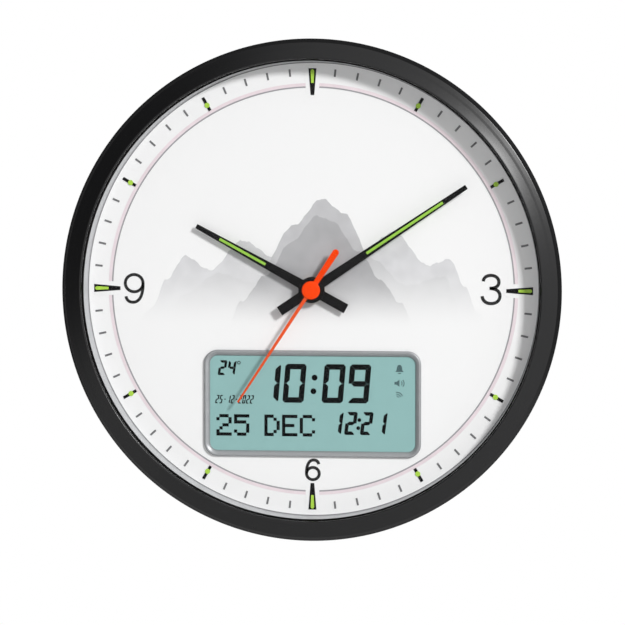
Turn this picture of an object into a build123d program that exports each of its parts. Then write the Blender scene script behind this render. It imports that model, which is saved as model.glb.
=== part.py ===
from build123d import *
import math
import os

# A round wall clock: three hands on a quartz movement, above a liquid-crystal display that is
# driven by a second, digital, circuit. Sizes are in millimetres and angles in degrees.
#
# The wall is the plane y = 0 and the dial faces -Y, with +X to the viewer's right and +Z up.
# The origin is the point of the wall behind the shaft of the hands. A depth is a distance
# forward from the wall. A bearing is an angle in the plane of the dial, counter-clockwise from
# +X as the viewer sees it. A dial angle is clockwise from twelve o'clock.

os.makedirs("parts", exist_ok=True)

# ------------------------------------------------------------------ case sizes

outer_radius = 160.0
rim_width = 14.2  # from the rim's outer edge to the clear opening
rim_height = 4.3  # of the rim's crest over the lens
lip_width = 1.5  # sloping inner edge of the rim
lip_drop = 0.9
crown_width = 6.7
crown_bevel = 1.8
crown_drop = 0.8
groove_width = 1.2
groove_drop = 1.9
bead_width = 1.4
bead_drop = 1.2

rim_overhang = 5.4  # of the rim past the case's side wall
case_wall = 2.6
case_edge = 3.2  # bevel where the back meets the side wall
back_wall = 2.8
dial_depth = 28.0  # where the dial's back lies
lens_gap = 10.0  # between dial and lens
lens_thickness = 2.0
dial_thickness = 1.5
ring_gap = 1.1  # how far the pale ring's outer face lies outside the clear opening
ring_slope = 4.3  # how far its face runs inward to the dial

clearance = 0.3  # between pieces that are dropped into each other
root_overlap = 1.0  # how far a rib or lug runs into the wall that carries it
shaft_clearance = 0.05  # radial, between a shaft and its hole

catch_count = 6
catch_width = 12.0
catch_length = 6.0
catch_thickness = 2.5
catch_hook = 1.6
catch_tooth = 2.0  # height of the hook
rib_count = 8
rib_length = 12.0
rib_wall = 2.0

# ------------------------------------------------------------------ marker and hand sizes

marker_margin = 1.7  # between the hour markers and the ring
quarter_marker_length = 17.0
quarter_marker_width = 5.1
quarter_marker_tip = 2.3
marker_length = 9.5
marker_width = 1.9
marker_sheet = 0.3

hour_angle = 298.5  # dial angles of the hands at rest
minute_angle = 56.7
second_angle = 213.2

hub_radius = 8.3
hour_length = 84.4
hour_tail = 25.0
minute_length = 118.0
minute_tail = 24.5
hand_root_width = 4.7
hand_tip_width = 3.0
hand_tail_width = 6.3
hand_sheet = 0.8
lume_width = 2.0
hour_lume_start = 33.7
hour_lume_length = 33.7
minute_lume_start = 42.5
minute_lume_length = 58.5
second_length = 86.0
second_tail = 28.5
second_root_width = 2.2
second_tip_width = 1.1
second_tail_width = 3.2
second_tail_end_width = 4.5
second_sheet = 0.5
second_hub_radius = 5.8
second_hub_height = 1.7
hand_spacing = 1.4  # free depth between one hand and the next
tube_stand_out = 0.3  # how far a tube passes its hand

# ------------------------------------------------------------------ hanger sizes

hanger_inset = 32.6  # the keyhole's round end below the case's edge
hanger_width = 48.0
hanger_length = 24.0
hanger_rise = 3.0  # of the plate's centre over the keyhole's round end
hanger_sheet = 1.4
hanger_sink = 1.0  # depth of the plate below the back
hanger_pad = 2.4
keyhole_radius = 4.75
keyhole_slot = 4.4
keyhole_travel = 9.0
hanger_pocket_width = 26.0
hanger_pocket_length = 18.0
hanger_pocket_depth = 8.4
hanger_lug_width = 5.0
hanger_lug_reach = 1.8
hanger_lug_place = 17.0

# ------------------------------------------------------------------ movement sizes

movement_size = 56.0
movement_thickness = 16.0
movement_wall = 1.4
movement_plate = 1.5
movement_corner = 1.5
well_gap = 0.5  # around the movement
well_wall = 2.0
well_overlap = 2.0  # how far the well's walls pass the movement's rear
washer_size = 24.0
washer_thickness = 1.0
neck_radius = 4.0
neck_length = 5.4
nut_radius = 8.0
nut_height = 2.0
hour_tube_radius = 2.5
minute_tube_radius = 1.5
second_arbor_radius = 0.5
set_arbor_radius = 1.0
set_knob_radius = 6.0
set_knob_length = 5.2
set_knob_sides = 12
set_knob_gap = 1.2
end_shake = 0.2
layer_gap = 0.4  # between wheels at neighbouring levels
wheel_sheet = 0.8
middle_plate_sheet = 1.0
middle_post = 2.4

cell_radius = 7.25
cell_length = 50.5
cell_gap = 0.2  # between a cell and the walls of its bay
cell_sides = 24
contact_sheet = 0.4
contact_bow = 5.3
contact_width = 8.0

# Toothed wheels. A wheel and a pinion that mesh have one module.
rotor_leaves = 6
step_teeth = 36
step_leaves = 6
second_teeth = 30
second_leaves = 6
third_teeth = 45
third_leaves = 6
centre_teeth = 48
minute_leaves = 8
set_teeth = 24
set_leaves = 8
hour_teeth = 32
rotor_module = 0.30
step_module = 0.42
second_module = 0.36
set_module = 0.625

# Tooth sizes in modules: pointed wheel teeth run in pinions with narrow leaves.
wheel_addendum = 1.0
wheel_dedendum = 1.7
leaf_addendum = 0.9
leaf_dedendum = 1.3
leaf_tip = 0.45
leaf_root = 0.85

step_bearing = 150.0  # where the arbors stand around the centre
third_bearing = 70.0
set_bearing = -12.0

magnet_radius = 2.6
magnet_height = 2.5
rotor_hole_radius = 3.0
stator_neck = 0.5  # metal left beside the rotor's hole
stator_pad = 4.1  # half height of the stator around that hole
stator_sheet = 0.9
stator_left = -21.0
stator_right = 9.0
stator_leg = 4.0
stator_bridge = 3.0
coil_height = 23.0  # the coil's axis above the shaft
coil_length = 18.0
coil_size = 5.7
coil_bevel = 1.2
core_height = 3.2
core_sheet = 1.2
bobbin_wall = 0.4
bobbin_flange = 0.8
movement_board_width = 5.6
movement_board_sheet = 0.8
crystal_radius = 1.0
crystal_length = 6.0

# ------------------------------------------------------------------ display sizes

display_drop = 73.0  # the display's centre below the shaft
window_width = 132.0  # visible part of the display
window_height = 60.7
window_corner = 5.0
frame_width = 3.75
frame_corner = 7.5
frame_height = 2.0
glass_overlap = 0.8  # the glass reaches this far behind the frame
glass_thickness = 2.4
glass_drop = 0.1  # of the glass below the dial's face
guide_thickness = 3.0
guide_margin = 4.0
guide_gap = 1.0  # between the light guide and the rubber strips
tray_wall = 2.0
strip_width = 2.5
strip_margin = 1.5
board_width = 146.0
board_height = 72.0
board_thickness = 1.6
board_depth = 19.0  # where the board's rear face lies
pillar_size = 6.0
pillar_margin = 4.0
chip_drops = ((-30.0, -12.0, 16.0, 12.0, 2.0), (18.0, -14.0, 9.0, 9.0, 1.6), (48.0, -14.0, 5.0, 4.0, 1.4))

# ------------------------------------------------------------------ keys, switch, speaker

key_names = ("set_key", "mode_key", "up_key", "down_key", "alarm_key")
key_pitch = 22.0
key_width = 9.0
key_height = 6.0
key_rise = 2.4  # how far a key stands out of its panel
key_travel = 1.0
key_flange = 1.2
key_flange_width = 1.5  # on each side of the key
key_stem = 4.0
key_gap = 0.25
key_drop = 86.0  # the row of keys below the shaft
stem_gap = 0.1  # between a pressed key's stem and the board
panel_depth = 6.0  # the keys' panel lies this deep in the back
panel_margin = 5.5
panel_height = 15.0
switch_place = 64.0
switch_travel = 4.0
switch_knob = 4.0
switch_body_width = 14.0
switch_body_height = 7.0

speaker_place = (-78.0, 44.0)
speaker_size = 40.0
speaker_frame = 3.5
speaker_bevel = 4.0
cone_radius = 16.0
cone_sides = 24
cone_sink = 2.0
magnet_size = 20.0
magnet_block = 5.0
grille_radius = 16.0
grille_slot = 2.2
grille_pitch = 4.4
clip_width = 8.0
clip_wall = 2.0
clip_reach = 1.0

# ------------------------------------------------------------------ battery bay

bay_place = (82.0, 44.0)
bay_margin = 1.4  # between the cells and the bay's end walls
bay_wall = 2.0
cell_pitch = 15.4
door_sheet = 1.5
door_sink = 0.3
door_overlap = 1.5
door_gap = 0.2
door_travel = 7.0
tongue_reach = 1.5
tongue_length = 6.0
tongue_sheet = 0.7
tongue_places = (9.0, -5.0)  # above and below the door's centre
grip_count = 5
grip_width = 16.0  # of the longest groove
grip_step = 3.0  # by which each groove is shorter than the one above it
grip_pitch = 2.2
grip_groove = 1.0
grip_depth = 0.5
grip_drop = 3.0  # of the first groove below the door's centre

# ------------------------------------------------------------------ places that follow

dial_front = dial_depth + dial_thickness
lens_rear = dial_front + lens_gap
lens_front = lens_rear + lens_thickness
crest_depth = lens_front + rim_height
opening_radius = outer_radius - rim_width
ring_outer_radius = opening_radius + ring_gap
ring_inner_radius = ring_outer_radius - ring_slope
marker_radius = ring_inner_radius - marker_margin
case_radius = outer_radius - rim_overhang
case_inner_radius = case_radius - case_wall
hanger_height = case_radius - hanger_inset

movement_front = dial_depth - washer_thickness
movement_rear = movement_front - movement_thickness
plate_inner = movement_front - movement_plate
gear_floor = movement_rear + movement_wall
neck_front = movement_front + neck_length
half_movement = movement_size / 2
movement_inner = half_movement - movement_wall

hour_hand_depth = neck_front + 2 * tube_stand_out
minute_hand_depth = hour_hand_depth + hand_sheet + hand_spacing
second_hand_depth = minute_hand_depth + hand_sheet + hand_spacing

display_centre = (0, -display_drop)
glass_width = window_width + 2 * glass_overlap
glass_height = window_height + 2 * glass_overlap
glass_front = dial_front - glass_drop
glass_rear = glass_front - glass_thickness
board_front = board_depth + board_thickness

# ------------------------------------------------------------------ helpers


def facing(depth):
    """The plane at a depth, looking out of the wall: sketch x is +X and sketch y is +Z."""
    return Plane.XZ.offset(depth)


def hand_plane(depth, dial_angle):
    """The plane at a depth, turned so that sketch y points along a dial angle."""
    turn = math.radians(dial_angle)
    return Plane(
        origin=(0, -depth, 0),
        x_dir=(math.cos(turn), 0, -math.sin(turn)),
        z_dir=(0, -1, 0),
    )


def around(radius, bearing):
    """The point (x, z) at a radius and a bearing from the shaft."""
    turn = math.radians(bearing)
    return (radius * math.cos(turn), radius * math.sin(turn))


def shifted(place, distance, bearing):
    """The point at a distance and a bearing from place."""
    step = around(distance, bearing)
    return (place[0] + step[0], place[1] + step[1])


def span(left, right, bottom, top):
    """A rectangle between two x and two z, in the sketch that is open."""
    with Locations(((left + right) / 2, (bottom + top) / 2)):
        Rectangle(right - left, top - bottom)


def pair_distance(teeth, leaves, module):
    """Distance between the arbors of a wheel and a pinion in mesh."""
    return (teeth + leaves) * module / 2


def tip_radius(leaves, module):
    """Outer radius of a pinion."""
    return (leaves / 2 + leaf_addendum) * module


def meshed(phase, teeth, other_teeth, bearing):
    """Phase of a wheel that meshes with a wheel of `teeth` teeth at `phase`.

    bearing is the direction from that wheel's arbor to the other's. A phase is the bearing of
    the middle of one tooth.
    """
    return bearing + 180 + 180 / other_teeth - teeth / other_teeth * (phase - bearing)


def wheel_outline(place, teeth, module, phase):
    """A wheel with pointed teeth around place, in the sketch that is open."""
    tip = (teeth / 2 + wheel_addendum) * module
    root = (teeth / 2 - wheel_dedendum) * module
    corners = []
    for i in range(teeth):
        bearing = phase + 360 / teeth * i
        corners.append(shifted(place, tip, bearing))
        corners.append(shifted(place, root, bearing + 180 / teeth))
    Polygon(*corners, align=None)


def pinion_outline(place, leaves, module, phase):
    """A pinion with tapered leaves around place, in the sketch that is open."""
    tip = tip_radius(leaves, module)
    root = (leaves / 2 - leaf_dedendum) * module
    half_tip = leaf_tip / 2 * module
    half_root = leaf_root / 2 * module
    corners = []
    for i in range(leaves):
        bearing = phase + 360 / leaves * i
        inner = shifted(place, root, bearing)
        outer = shifted(place, tip, bearing)
        corners.append(shifted(inner, -half_root, bearing + 90))
        corners.append(shifted(outer, -half_tip, bearing + 90))
        corners.append(shifted(outer, half_tip, bearing + 90))
        corners.append(shifted(inner, half_root, bearing + 90))
    Polygon(*corners, align=None)


def hand_outline(length, tail, tube_radius, lume_start, lume_length):
    """A stick hand along sketch y, with hub disc, square tail and a slot for its inlay."""
    Polygon(
        (-hand_root_width / 2, 0),
        (hand_root_width / 2, 0),
        (hand_tip_width / 2, length),
        (-hand_tip_width / 2, length),
        align=None,
    )
    with Locations((0, -tail / 2)):
        Rectangle(hand_tail_width, tail)
    Circle(hub_radius)
    Circle(tube_radius, mode=Mode.SUBTRACT)
    with Locations((0, lume_start + lume_length / 2)):
        Rectangle(lume_width, lume_length, mode=Mode.SUBTRACT)


# ------------------------------------------------------------------ bezel, lens, ring, dial

# The bezel overhangs the case all round: a sloping lip, a bevelled crown, then a groove and a
# bead. Catches at its back hook into the case's wall.
crown_start = opening_radius + lip_width
crown_end = crown_start + crown_width
groove_radius = crown_end + groove_width
bead_radius = groove_radius + bead_width
bezel_seat = case_radius + clearance
catch_face = bezel_seat + clearance
catch_end = lens_rear - catch_length

with BuildPart() as front_bezel:
    # half section, drawn as (radius, depth)
    with BuildSketch(Plane(origin=(0, 0, 0), x_dir=(1, 0, 0), z_dir=(0, 0, -1))):
        with BuildLine():
            Polyline(
                (opening_radius, lens_front),
                (crown_start, crest_depth - lip_drop),
                (crown_start + crown_bevel, crest_depth),
                (crown_end - crown_bevel, crest_depth),
                (crown_end, crest_depth - crown_drop),
                (groove_radius, crest_depth - groove_drop),
                (bead_radius, crest_depth - bead_drop),
                (outer_radius, lens_rear),
                (bezel_seat, lens_rear),
                (bezel_seat, lens_front),
                close=True,
            )
        make_face()
    revolve(axis=Axis.Y)
    with BuildSketch(facing(catch_end)):
        with PolarLocations(catch_face + catch_thickness / 2, catch_count):
            Rectangle(catch_thickness, catch_width)
    extrude(amount=catch_length)
    with BuildSketch(facing(catch_end)):
        with PolarLocations(catch_face - catch_hook / 2, catch_count):
            Rectangle(catch_hook, catch_width)
    extrude(amount=catch_tooth)
front_bezel.part.label = "front_bezel"
export_step(front_bezel.part, "parts/front_bezel.step")

with BuildPart() as lens:
    with BuildSketch(facing(lens_rear)):
        Circle(case_radius)
    extrude(amount=lens_thickness)
lens.part.label = "lens"
export_step(lens.part, "parts/lens.step")

# The pale ring between dial and lens has a wedge-shaped section.
with BuildPart() as inner_ring:
    with BuildSketch(Plane(origin=(0, 0, 0), x_dir=(1, 0, 0), z_dir=(0, 0, -1))):
        with BuildLine():
            Polyline(
                (ring_inner_radius, dial_front),
                (ring_outer_radius, dial_front),
                (ring_outer_radius, lens_rear),
                close=True,
            )
        make_face()
    revolve(axis=Axis.Y)
inner_ring.part.label = "inner_ring"
export_step(inner_ring.part, "parts/inner_ring.step")

with BuildPart() as dial_plate:
    with BuildSketch(facing(dial_depth)):
        Circle(case_inner_radius - clearance)
        Circle(neck_radius + clearance, mode=Mode.SUBTRACT)
        with Locations(display_centre):
            Rectangle(glass_width + clearance, glass_height + clearance, mode=Mode.SUBTRACT)
    extrude(amount=dial_thickness)
dial_plate.part.label = "dial_plate"
export_step(dial_plate.part, "parts/dial_plate.step")

# Twelve markers: long wedges at the quarters, short bars between them.
with BuildPart() as hour_markers:
    for hour in range(12):
        with BuildSketch(hand_plane(dial_front, 30 * hour)):
            if hour % 3 == 0:
                marker_end = marker_radius - quarter_marker_length
                Polygon(
                    (-quarter_marker_tip / 2, marker_end),
                    (quarter_marker_tip / 2, marker_end),
                    (quarter_marker_width / 2, marker_radius),
                    (-quarter_marker_width / 2, marker_radius),
                    align=None,
                )
            else:
                with Locations((0, marker_radius - marker_length / 2)):
                    Rectangle(marker_width, marker_length)
        extrude(amount=marker_sheet)
hour_markers.part.label = "hour_markers"
export_step(hour_markers.part, "parts/hour_markers.step")

# ------------------------------------------------------------------ rear case

bay_length = cell_length + 2 * bay_margin
bay_width = cell_pitch + 2 * cell_radius + 2 * cell_gap
bay_depth = back_wall + 2 * (cell_radius + cell_gap)
door_width = bay_length + 2 * door_overlap
door_height = bay_width + 2 * door_overlap
door_front = door_sink + door_sheet
tongue_rear = door_front - tongue_sheet
groove_span = door_width + 2 * (tongue_reach + door_gap)
groove_top = tongue_places[0] + tongue_length / 2 + door_gap
groove_bottom = tongue_places[1] - door_travel - tongue_length / 2 - door_gap
hanger_front = hanger_sink + hanger_sheet
hanger_centre = (0, hanger_height + hanger_rise)
hanger_edge = hanger_length / 2 + door_gap
well_size = movement_size + 2 * well_gap
key_reach = (len(key_names) - 1) / 2 * key_pitch + key_width / 2
switch_reach = switch_place + (switch_knob + switch_travel) / 2
panel_left = -key_reach - panel_margin
panel_right = switch_reach + panel_margin
panel_centre = ((panel_left + panel_right) / 2, -key_drop)
panel_width = panel_right - panel_left
panel_front = panel_depth + back_wall
clip_place = speaker_size / 2 + clip_wall / 2
slot_count = 2 * int(grille_radius / grille_pitch) + 1
speaker_front = back_wall + speaker_frame

with BuildPart() as rear_case:
    with BuildSketch(facing(0)):
        Circle(case_radius)
    extrude(amount=lens_rear)
    chamfer(rear_case.faces().sort_by(Axis.Y)[-1].edges(), case_edge)
    with BuildSketch(facing(back_wall)):
        Circle(case_inner_radius)
    extrude(amount=lens_rear - back_wall, mode=Mode.SUBTRACT)

    # ribs that carry the dial
    with BuildSketch(facing(back_wall)):
        with PolarLocations(
            case_inner_radius - rib_length / 2, rib_count, start_angle=180 / rib_count
        ):
            Rectangle(rib_length + root_overlap, rib_wall)
    extrude(amount=dial_depth - back_wall)

    # walls of the movement's well, the keys' panel, the cells' bay and the hanger
    with BuildSketch(facing(back_wall)):
        Rectangle(well_size + 2 * well_wall, well_size + 2 * well_wall)
    extrude(amount=movement_rear + well_overlap - back_wall)
    with BuildSketch(facing(back_wall)):
        with Locations(panel_centre):
            Rectangle(panel_width + 2 * back_wall, panel_height + 2 * back_wall)
    extrude(amount=panel_front - back_wall)
    with BuildSketch(facing(back_wall)):
        with Locations(bay_place):
            Rectangle(bay_length + 2 * bay_wall, bay_width + 2 * bay_wall)
    extrude(amount=bay_depth + bay_wall - back_wall)
    with BuildSketch(facing(back_wall)):
        with Locations(hanger_centre):
            Rectangle(hanger_width + 2 * case_wall, hanger_length + 2 * case_wall)
    extrude(amount=hanger_pad)
    with BuildSketch(facing(back_wall)):
        with Locations(hanger_centre):
            Rectangle(
                hanger_pocket_width + 2 * case_wall,
                hanger_pocket_length + 2 * case_wall,
            )
    extrude(amount=hanger_front + hanger_pocket_depth + case_wall - back_wall)

    # pillars of the board, and clips that hold the speaker
    with BuildSketch(facing(back_wall)):
        with Locations(display_centre):
            with GridLocations(
                board_width - 2 * pillar_margin, board_height - 2 * pillar_margin, 2, 2
            ):
                Rectangle(pillar_size, pillar_size)
    extrude(amount=board_depth - back_wall)
    with BuildSketch(facing(back_wall)):
        with Locations(speaker_place):
            with GridLocations(2 * clip_place, 1, 2, 1):
                Rectangle(clip_wall, clip_width)
    extrude(amount=speaker_frame)
    with BuildSketch(facing(speaker_front)):
        with Locations(speaker_place):
            with GridLocations(2 * clip_place - clip_reach, 1, 2, 1):
                Rectangle(clip_wall + clip_reach, clip_width)
    extrude(amount=clip_wall)

    # what is cut from the back: well, panel, bay, hanger's seat and pocket
    with BuildSketch(facing(0)):
        Rectangle(well_size, well_size)
    extrude(amount=movement_rear + well_overlap, mode=Mode.SUBTRACT)
    with BuildSketch(facing(0)):
        with Locations(panel_centre):
            Rectangle(panel_width, panel_height)
    extrude(amount=panel_depth, mode=Mode.SUBTRACT)
    with BuildSketch(facing(0)):
        with Locations(bay_place):
            Rectangle(bay_length, bay_width)
    extrude(amount=bay_depth, mode=Mode.SUBTRACT)
    with BuildSketch(facing(0)):
        with Locations(hanger_centre):
            Rectangle(hanger_width + 2 * door_gap, hanger_length + 2 * door_gap)
    extrude(amount=hanger_front, mode=Mode.SUBTRACT)
    with BuildSketch(facing(0)):
        with Locations(hanger_centre):
            Rectangle(hanger_pocket_width, hanger_pocket_length)
    extrude(amount=hanger_front + hanger_pocket_depth, mode=Mode.SUBTRACT)

    # lugs that hold the hanger in its seat
    with BuildSketch(facing(0)):
        with Locations(hanger_centre):
            with GridLocations(
                2 * hanger_lug_place, 2 * hanger_edge - hanger_lug_reach + root_overlap, 2, 2
            ):
                Rectangle(hanger_lug_width, hanger_lug_reach + root_overlap)
    extrude(amount=hanger_sink)

    # seat of the battery door, with grooves for its tongues and notches where they enter
    with BuildSketch(facing(0)):
        with Locations((bay_place[0], bay_place[1] - door_travel / 2)):
            Rectangle(
                door_width + 2 * door_gap, door_height + door_travel + 2 * door_gap
            )
    extrude(amount=door_front, mode=Mode.SUBTRACT)
    with BuildSketch(facing(tongue_rear - door_gap)):
        with Locations((bay_place[0], bay_place[1] + (groove_top + groove_bottom) / 2)):
            Rectangle(groove_span, groove_top - groove_bottom)
    extrude(amount=tongue_sheet + door_gap, mode=Mode.SUBTRACT)
    with BuildSketch(facing(0)):
        for tongue_place in tongue_places:
            with Locations((bay_place[0], bay_place[1] + tongue_place - door_travel)):
                Rectangle(groove_span, tongue_length + 2 * door_gap)
    extrude(amount=door_front, mode=Mode.SUBTRACT)

    # holes in the back and in the panel: grille, keys and switch
    with BuildSketch(facing(0)):
        for i in range(slot_count):
            offset_up = (i - (slot_count - 1) / 2) * grille_pitch
            slot_length = 2 * math.sqrt(grille_radius**2 - offset_up**2)
            with Locations((speaker_place[0], speaker_place[1] + offset_up)):
                Rectangle(slot_length, grille_slot)
    extrude(amount=back_wall, mode=Mode.SUBTRACT)
    with BuildSketch(facing(panel_depth)):
        with Locations((0, -key_drop)):
            with GridLocations(key_pitch, 1, len(key_names), 1):
                Rectangle(key_width + 2 * key_gap, key_height + 2 * key_gap)
        with Locations((switch_place, -key_drop)):
            Rectangle(
                switch_knob + switch_travel + 2 * key_gap, switch_knob + 2 * key_gap
            )
    extrude(amount=back_wall, mode=Mode.SUBTRACT)

    # windows in the side wall for the bezel's catches
    with BuildSketch(facing(catch_end - clearance)):
        with PolarLocations(case_radius - case_wall / 2, catch_count):
            Rectangle(case_wall + root_overlap, catch_width + 2 * clearance)
    extrude(amount=catch_tooth + 2 * clearance, mode=Mode.SUBTRACT)
rear_case.part.label = "rear_case"
export_step(rear_case.part, "parts/rear_case.step")

# ------------------------------------------------------------------ hanger

with BuildPart() as hanger_plate:
    with BuildSketch(facing(hanger_sink)):
        with Locations(hanger_centre):
            Rectangle(hanger_width, hanger_length)
        with Locations((0, hanger_height)):
            Circle(keyhole_radius, mode=Mode.SUBTRACT)
        with Locations((0, hanger_height + keyhole_travel / 2)):
            SlotOverall(
                keyhole_travel + keyhole_slot,
                keyhole_slot,
                rotation=90,
                mode=Mode.SUBTRACT,
            )
    extrude(amount=hanger_sheet)
hanger_plate.part.label = "hanger_plate"
export_step(hanger_plate.part, "parts/hanger_plate.step")

# ------------------------------------------------------------------ movement: levels and arbors

cell_height = -movement_inner + cell_gap + cell_radius
bay_top = cell_height + cell_radius + cell_gap
gear_bottom = bay_top + movement_wall
gear_top = movement_inner
cell_depth = plate_inner - cell_radius - shaft_clearance

arbor_rear = gear_floor + end_shake
second_wheel_rear = arbor_rear + layer_gap
stator_rear = second_wheel_rear + wheel_sheet + layer_gap
stator_front = stator_rear + stator_sheet
third_wheel_rear = stator_front + layer_gap
third_wheel_front = third_wheel_rear + wheel_sheet
step_wheel_rear = third_wheel_front + layer_gap
middle_rear = step_wheel_rear + wheel_sheet + layer_gap
middle_front = middle_rear + middle_plate_sheet
arbor_front = middle_rear - end_shake
centre_wheel_rear = middle_front + layer_gap
centre_wheel_front = centre_wheel_rear + wheel_sheet
minute_tube_rear = middle_front + end_shake
minute_pinion_rear = centre_wheel_front + end_shake
set_wheel_rear = minute_pinion_rear + layer_gap
set_wheel_front = set_wheel_rear + wheel_sheet
minute_pinion_front = set_wheel_front + layer_gap
hour_wheel_rear = minute_pinion_front + layer_gap
hour_tube_front = hour_hand_depth + hand_sheet + tube_stand_out
minute_tube_front = minute_hand_depth + hand_sheet + tube_stand_out

centre = (0, 0)
third_distance = pair_distance(third_teeth, second_leaves, second_module)
third_module = 2 * third_distance / (centre_teeth + third_leaves)
set_distance = pair_distance(set_teeth, minute_leaves, set_module)
hour_module = 2 * set_distance / (hour_teeth + set_leaves)
step_distance = pair_distance(second_teeth, step_leaves, step_module)
rotor_distance = step_distance + pair_distance(step_teeth, rotor_leaves, rotor_module)
third_place = around(third_distance, third_bearing)
set_place = around(set_distance, set_bearing)
step_place = around(step_distance, step_bearing)
rotor_place = around(rotor_distance, step_bearing)

# The second wheel, the step wheel and the minute pinion stand at phase 0. The others follow, so
# that all are in mesh at rest.
step_pinion_phase = meshed(0, second_teeth, step_leaves, step_bearing)
rotor_phase = meshed(0, step_teeth, rotor_leaves, step_bearing)
third_phase = meshed(0, second_leaves, third_teeth, third_bearing)
centre_phase = meshed(0, third_leaves, centre_teeth, third_bearing + 180)
set_phase = meshed(0, minute_leaves, set_teeth, set_bearing)
hour_phase = meshed(0, set_leaves, hour_teeth, set_bearing + 180)

third_hole_radius = tip_radius(third_leaves, third_module) + 2 * shaft_clearance
middle_left = stator_left + end_shake
middle_right = set_place[0] - set_arbor_radius - layer_gap
middle_bottom = gear_bottom + layer_gap
middle_top = coil_height - coil_size
post_places = (
    (middle_left + middle_post / 2, middle_bottom + middle_post / 2),
    (middle_right - middle_post / 2, middle_bottom + middle_post / 2),
    (rotor_place[0] - middle_post / 2, middle_top - middle_post / 2),
)

# ------------------------------------------------------------------ movement: frame

with BuildPart() as movement_case:
    with BuildSketch(facing(movement_rear)):
        movement_outline = Rectangle(movement_size, movement_size)
        chamfer(movement_outline.vertices(), movement_corner)
    extrude(amount=plate_inner - movement_rear)
    with BuildSketch(facing(gear_floor)):
        span(-movement_inner, movement_inner, gear_bottom, gear_top)
    extrude(amount=plate_inner - gear_floor, mode=Mode.SUBTRACT)
    with BuildSketch(facing(movement_rear)):
        span(-movement_inner, movement_inner, -movement_inner, bay_top)
    extrude(amount=plate_inner - movement_rear, mode=Mode.SUBTRACT)
    with BuildSketch(facing(movement_rear)):
        with Locations(set_place):
            Circle(set_arbor_radius + shaft_clearance)
    extrude(amount=movement_wall, mode=Mode.SUBTRACT)
    with BuildSketch(facing(gear_floor)):
        with Locations(*post_places):
            Rectangle(middle_post, middle_post)
    extrude(amount=middle_rear - gear_floor)
movement_case.part.label = "movement_case"
export_step(movement_case.part, "parts/movement_case.step")

with BuildPart() as movement_front_plate:
    with BuildSketch(facing(plate_inner)):
        front_outline = Rectangle(movement_size, movement_size)
        chamfer(front_outline.vertices(), movement_corner)
    extrude(amount=movement_plate)
    with BuildSketch(facing(movement_front)):
        Circle(neck_radius)
    extrude(amount=neck_length)
    with BuildSketch(facing(plate_inner)):
        Circle(hour_tube_radius + shaft_clearance)
    extrude(amount=movement_plate + neck_length, mode=Mode.SUBTRACT)
movement_front_plate.part.label = "movement_front_plate"
export_step(movement_front_plate.part, "parts/movement_front_plate.step")

# The middle plate closes the fast wheels' pivots. The second arbor and the third wheel's pinion
# pass through it.
with BuildPart() as middle_plate:
    with BuildSketch(facing(middle_rear)):
        span(middle_left, middle_right, middle_bottom, middle_top)
        Rectangle(3 * second_arbor_radius, 3 * second_arbor_radius, mode=Mode.SUBTRACT)
        with Locations(third_place):
            Circle(third_hole_radius, mode=Mode.SUBTRACT)
    extrude(amount=middle_plate_sheet)
middle_plate.part.label = "middle_plate"
export_step(middle_plate.part, "parts/middle_plate.step")

with BuildPart() as rubber_washer:
    with BuildSketch(facing(movement_front)):
        Rectangle(washer_size, washer_size)
        Circle(neck_radius + shaft_clearance, mode=Mode.SUBTRACT)
    extrude(amount=washer_thickness)
rubber_washer.part.label = "rubber_washer"
export_step(rubber_washer.part, "parts/rubber_washer.step")

with BuildPart() as fixing_nut:
    with BuildSketch(facing(dial_front)):
        RegularPolygon(nut_radius, 6)
        Circle(neck_radius + shaft_clearance, mode=Mode.SUBTRACT)
    extrude(amount=nut_height)
fixing_nut.part.label = "fixing_nut"
export_step(fixing_nut.part, "parts/fixing_nut.step")

# ------------------------------------------------------------------ movement: motor

rotor_x, rotor_z = rotor_place
core_centre = stator_front + core_sheet / 2
coil_middle = (stator_left + stator_right) / 2
bridge_bottom = third_place[1] + tip_radius(third_leaves, third_module) + layer_gap
leg_top = coil_height + core_height / 2

with BuildPart() as stator:
    with BuildSketch(facing(stator_rear)):
        span(
            stator_left,
            rotor_x + rotor_hole_radius + stator_neck,
            rotor_z - stator_pad,
            rotor_z + stator_pad,
        )
        span(stator_left, stator_left + stator_leg, rotor_z, leg_top)
        span(rotor_x - stator_pad, stator_right, bridge_bottom, bridge_bottom + stator_bridge)
        span(stator_right - stator_leg, stator_right, bridge_bottom, leg_top)
        with Locations(rotor_place):
            Circle(rotor_hole_radius, mode=Mode.SUBTRACT)
    extrude(amount=stator_sheet)
stator.part.label = "stator"
export_step(stator.part, "parts/stator.step")

with BuildPart() as coil_core:
    with BuildSketch(facing(stator_front)):
        span(stator_left, stator_right, coil_height - core_height / 2, leg_top)
    extrude(amount=core_sheet)
coil_core.part.label = "coil_core"
export_step(coil_core.part, "parts/coil_core.step")

with BuildPart() as coil_bobbin:
    with BuildSketch(Plane.YZ.offset(coil_middle - coil_length / 2)):
        with Locations((-core_centre, coil_height)):
            Rectangle(core_sheet + 2 * bobbin_wall, core_height + 2 * bobbin_wall)
    extrude(amount=coil_length)
    for side in (-1, 1):
        with BuildSketch(Plane.YZ.offset(coil_middle + side * coil_length / 2)):
            with Locations((-core_centre, coil_height)):
                Rectangle(coil_size, coil_size)
        extrude(amount=-side * bobbin_flange)
    with BuildSketch(Plane.YZ.offset(coil_middle - coil_length / 2)):
        with Locations((-core_centre, coil_height)):
            Rectangle(core_sheet, core_height)
    extrude(amount=coil_length, mode=Mode.SUBTRACT)
coil_bobbin.part.label = "coil_bobbin"
export_step(coil_bobbin.part, "parts/coil_bobbin.step")

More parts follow.
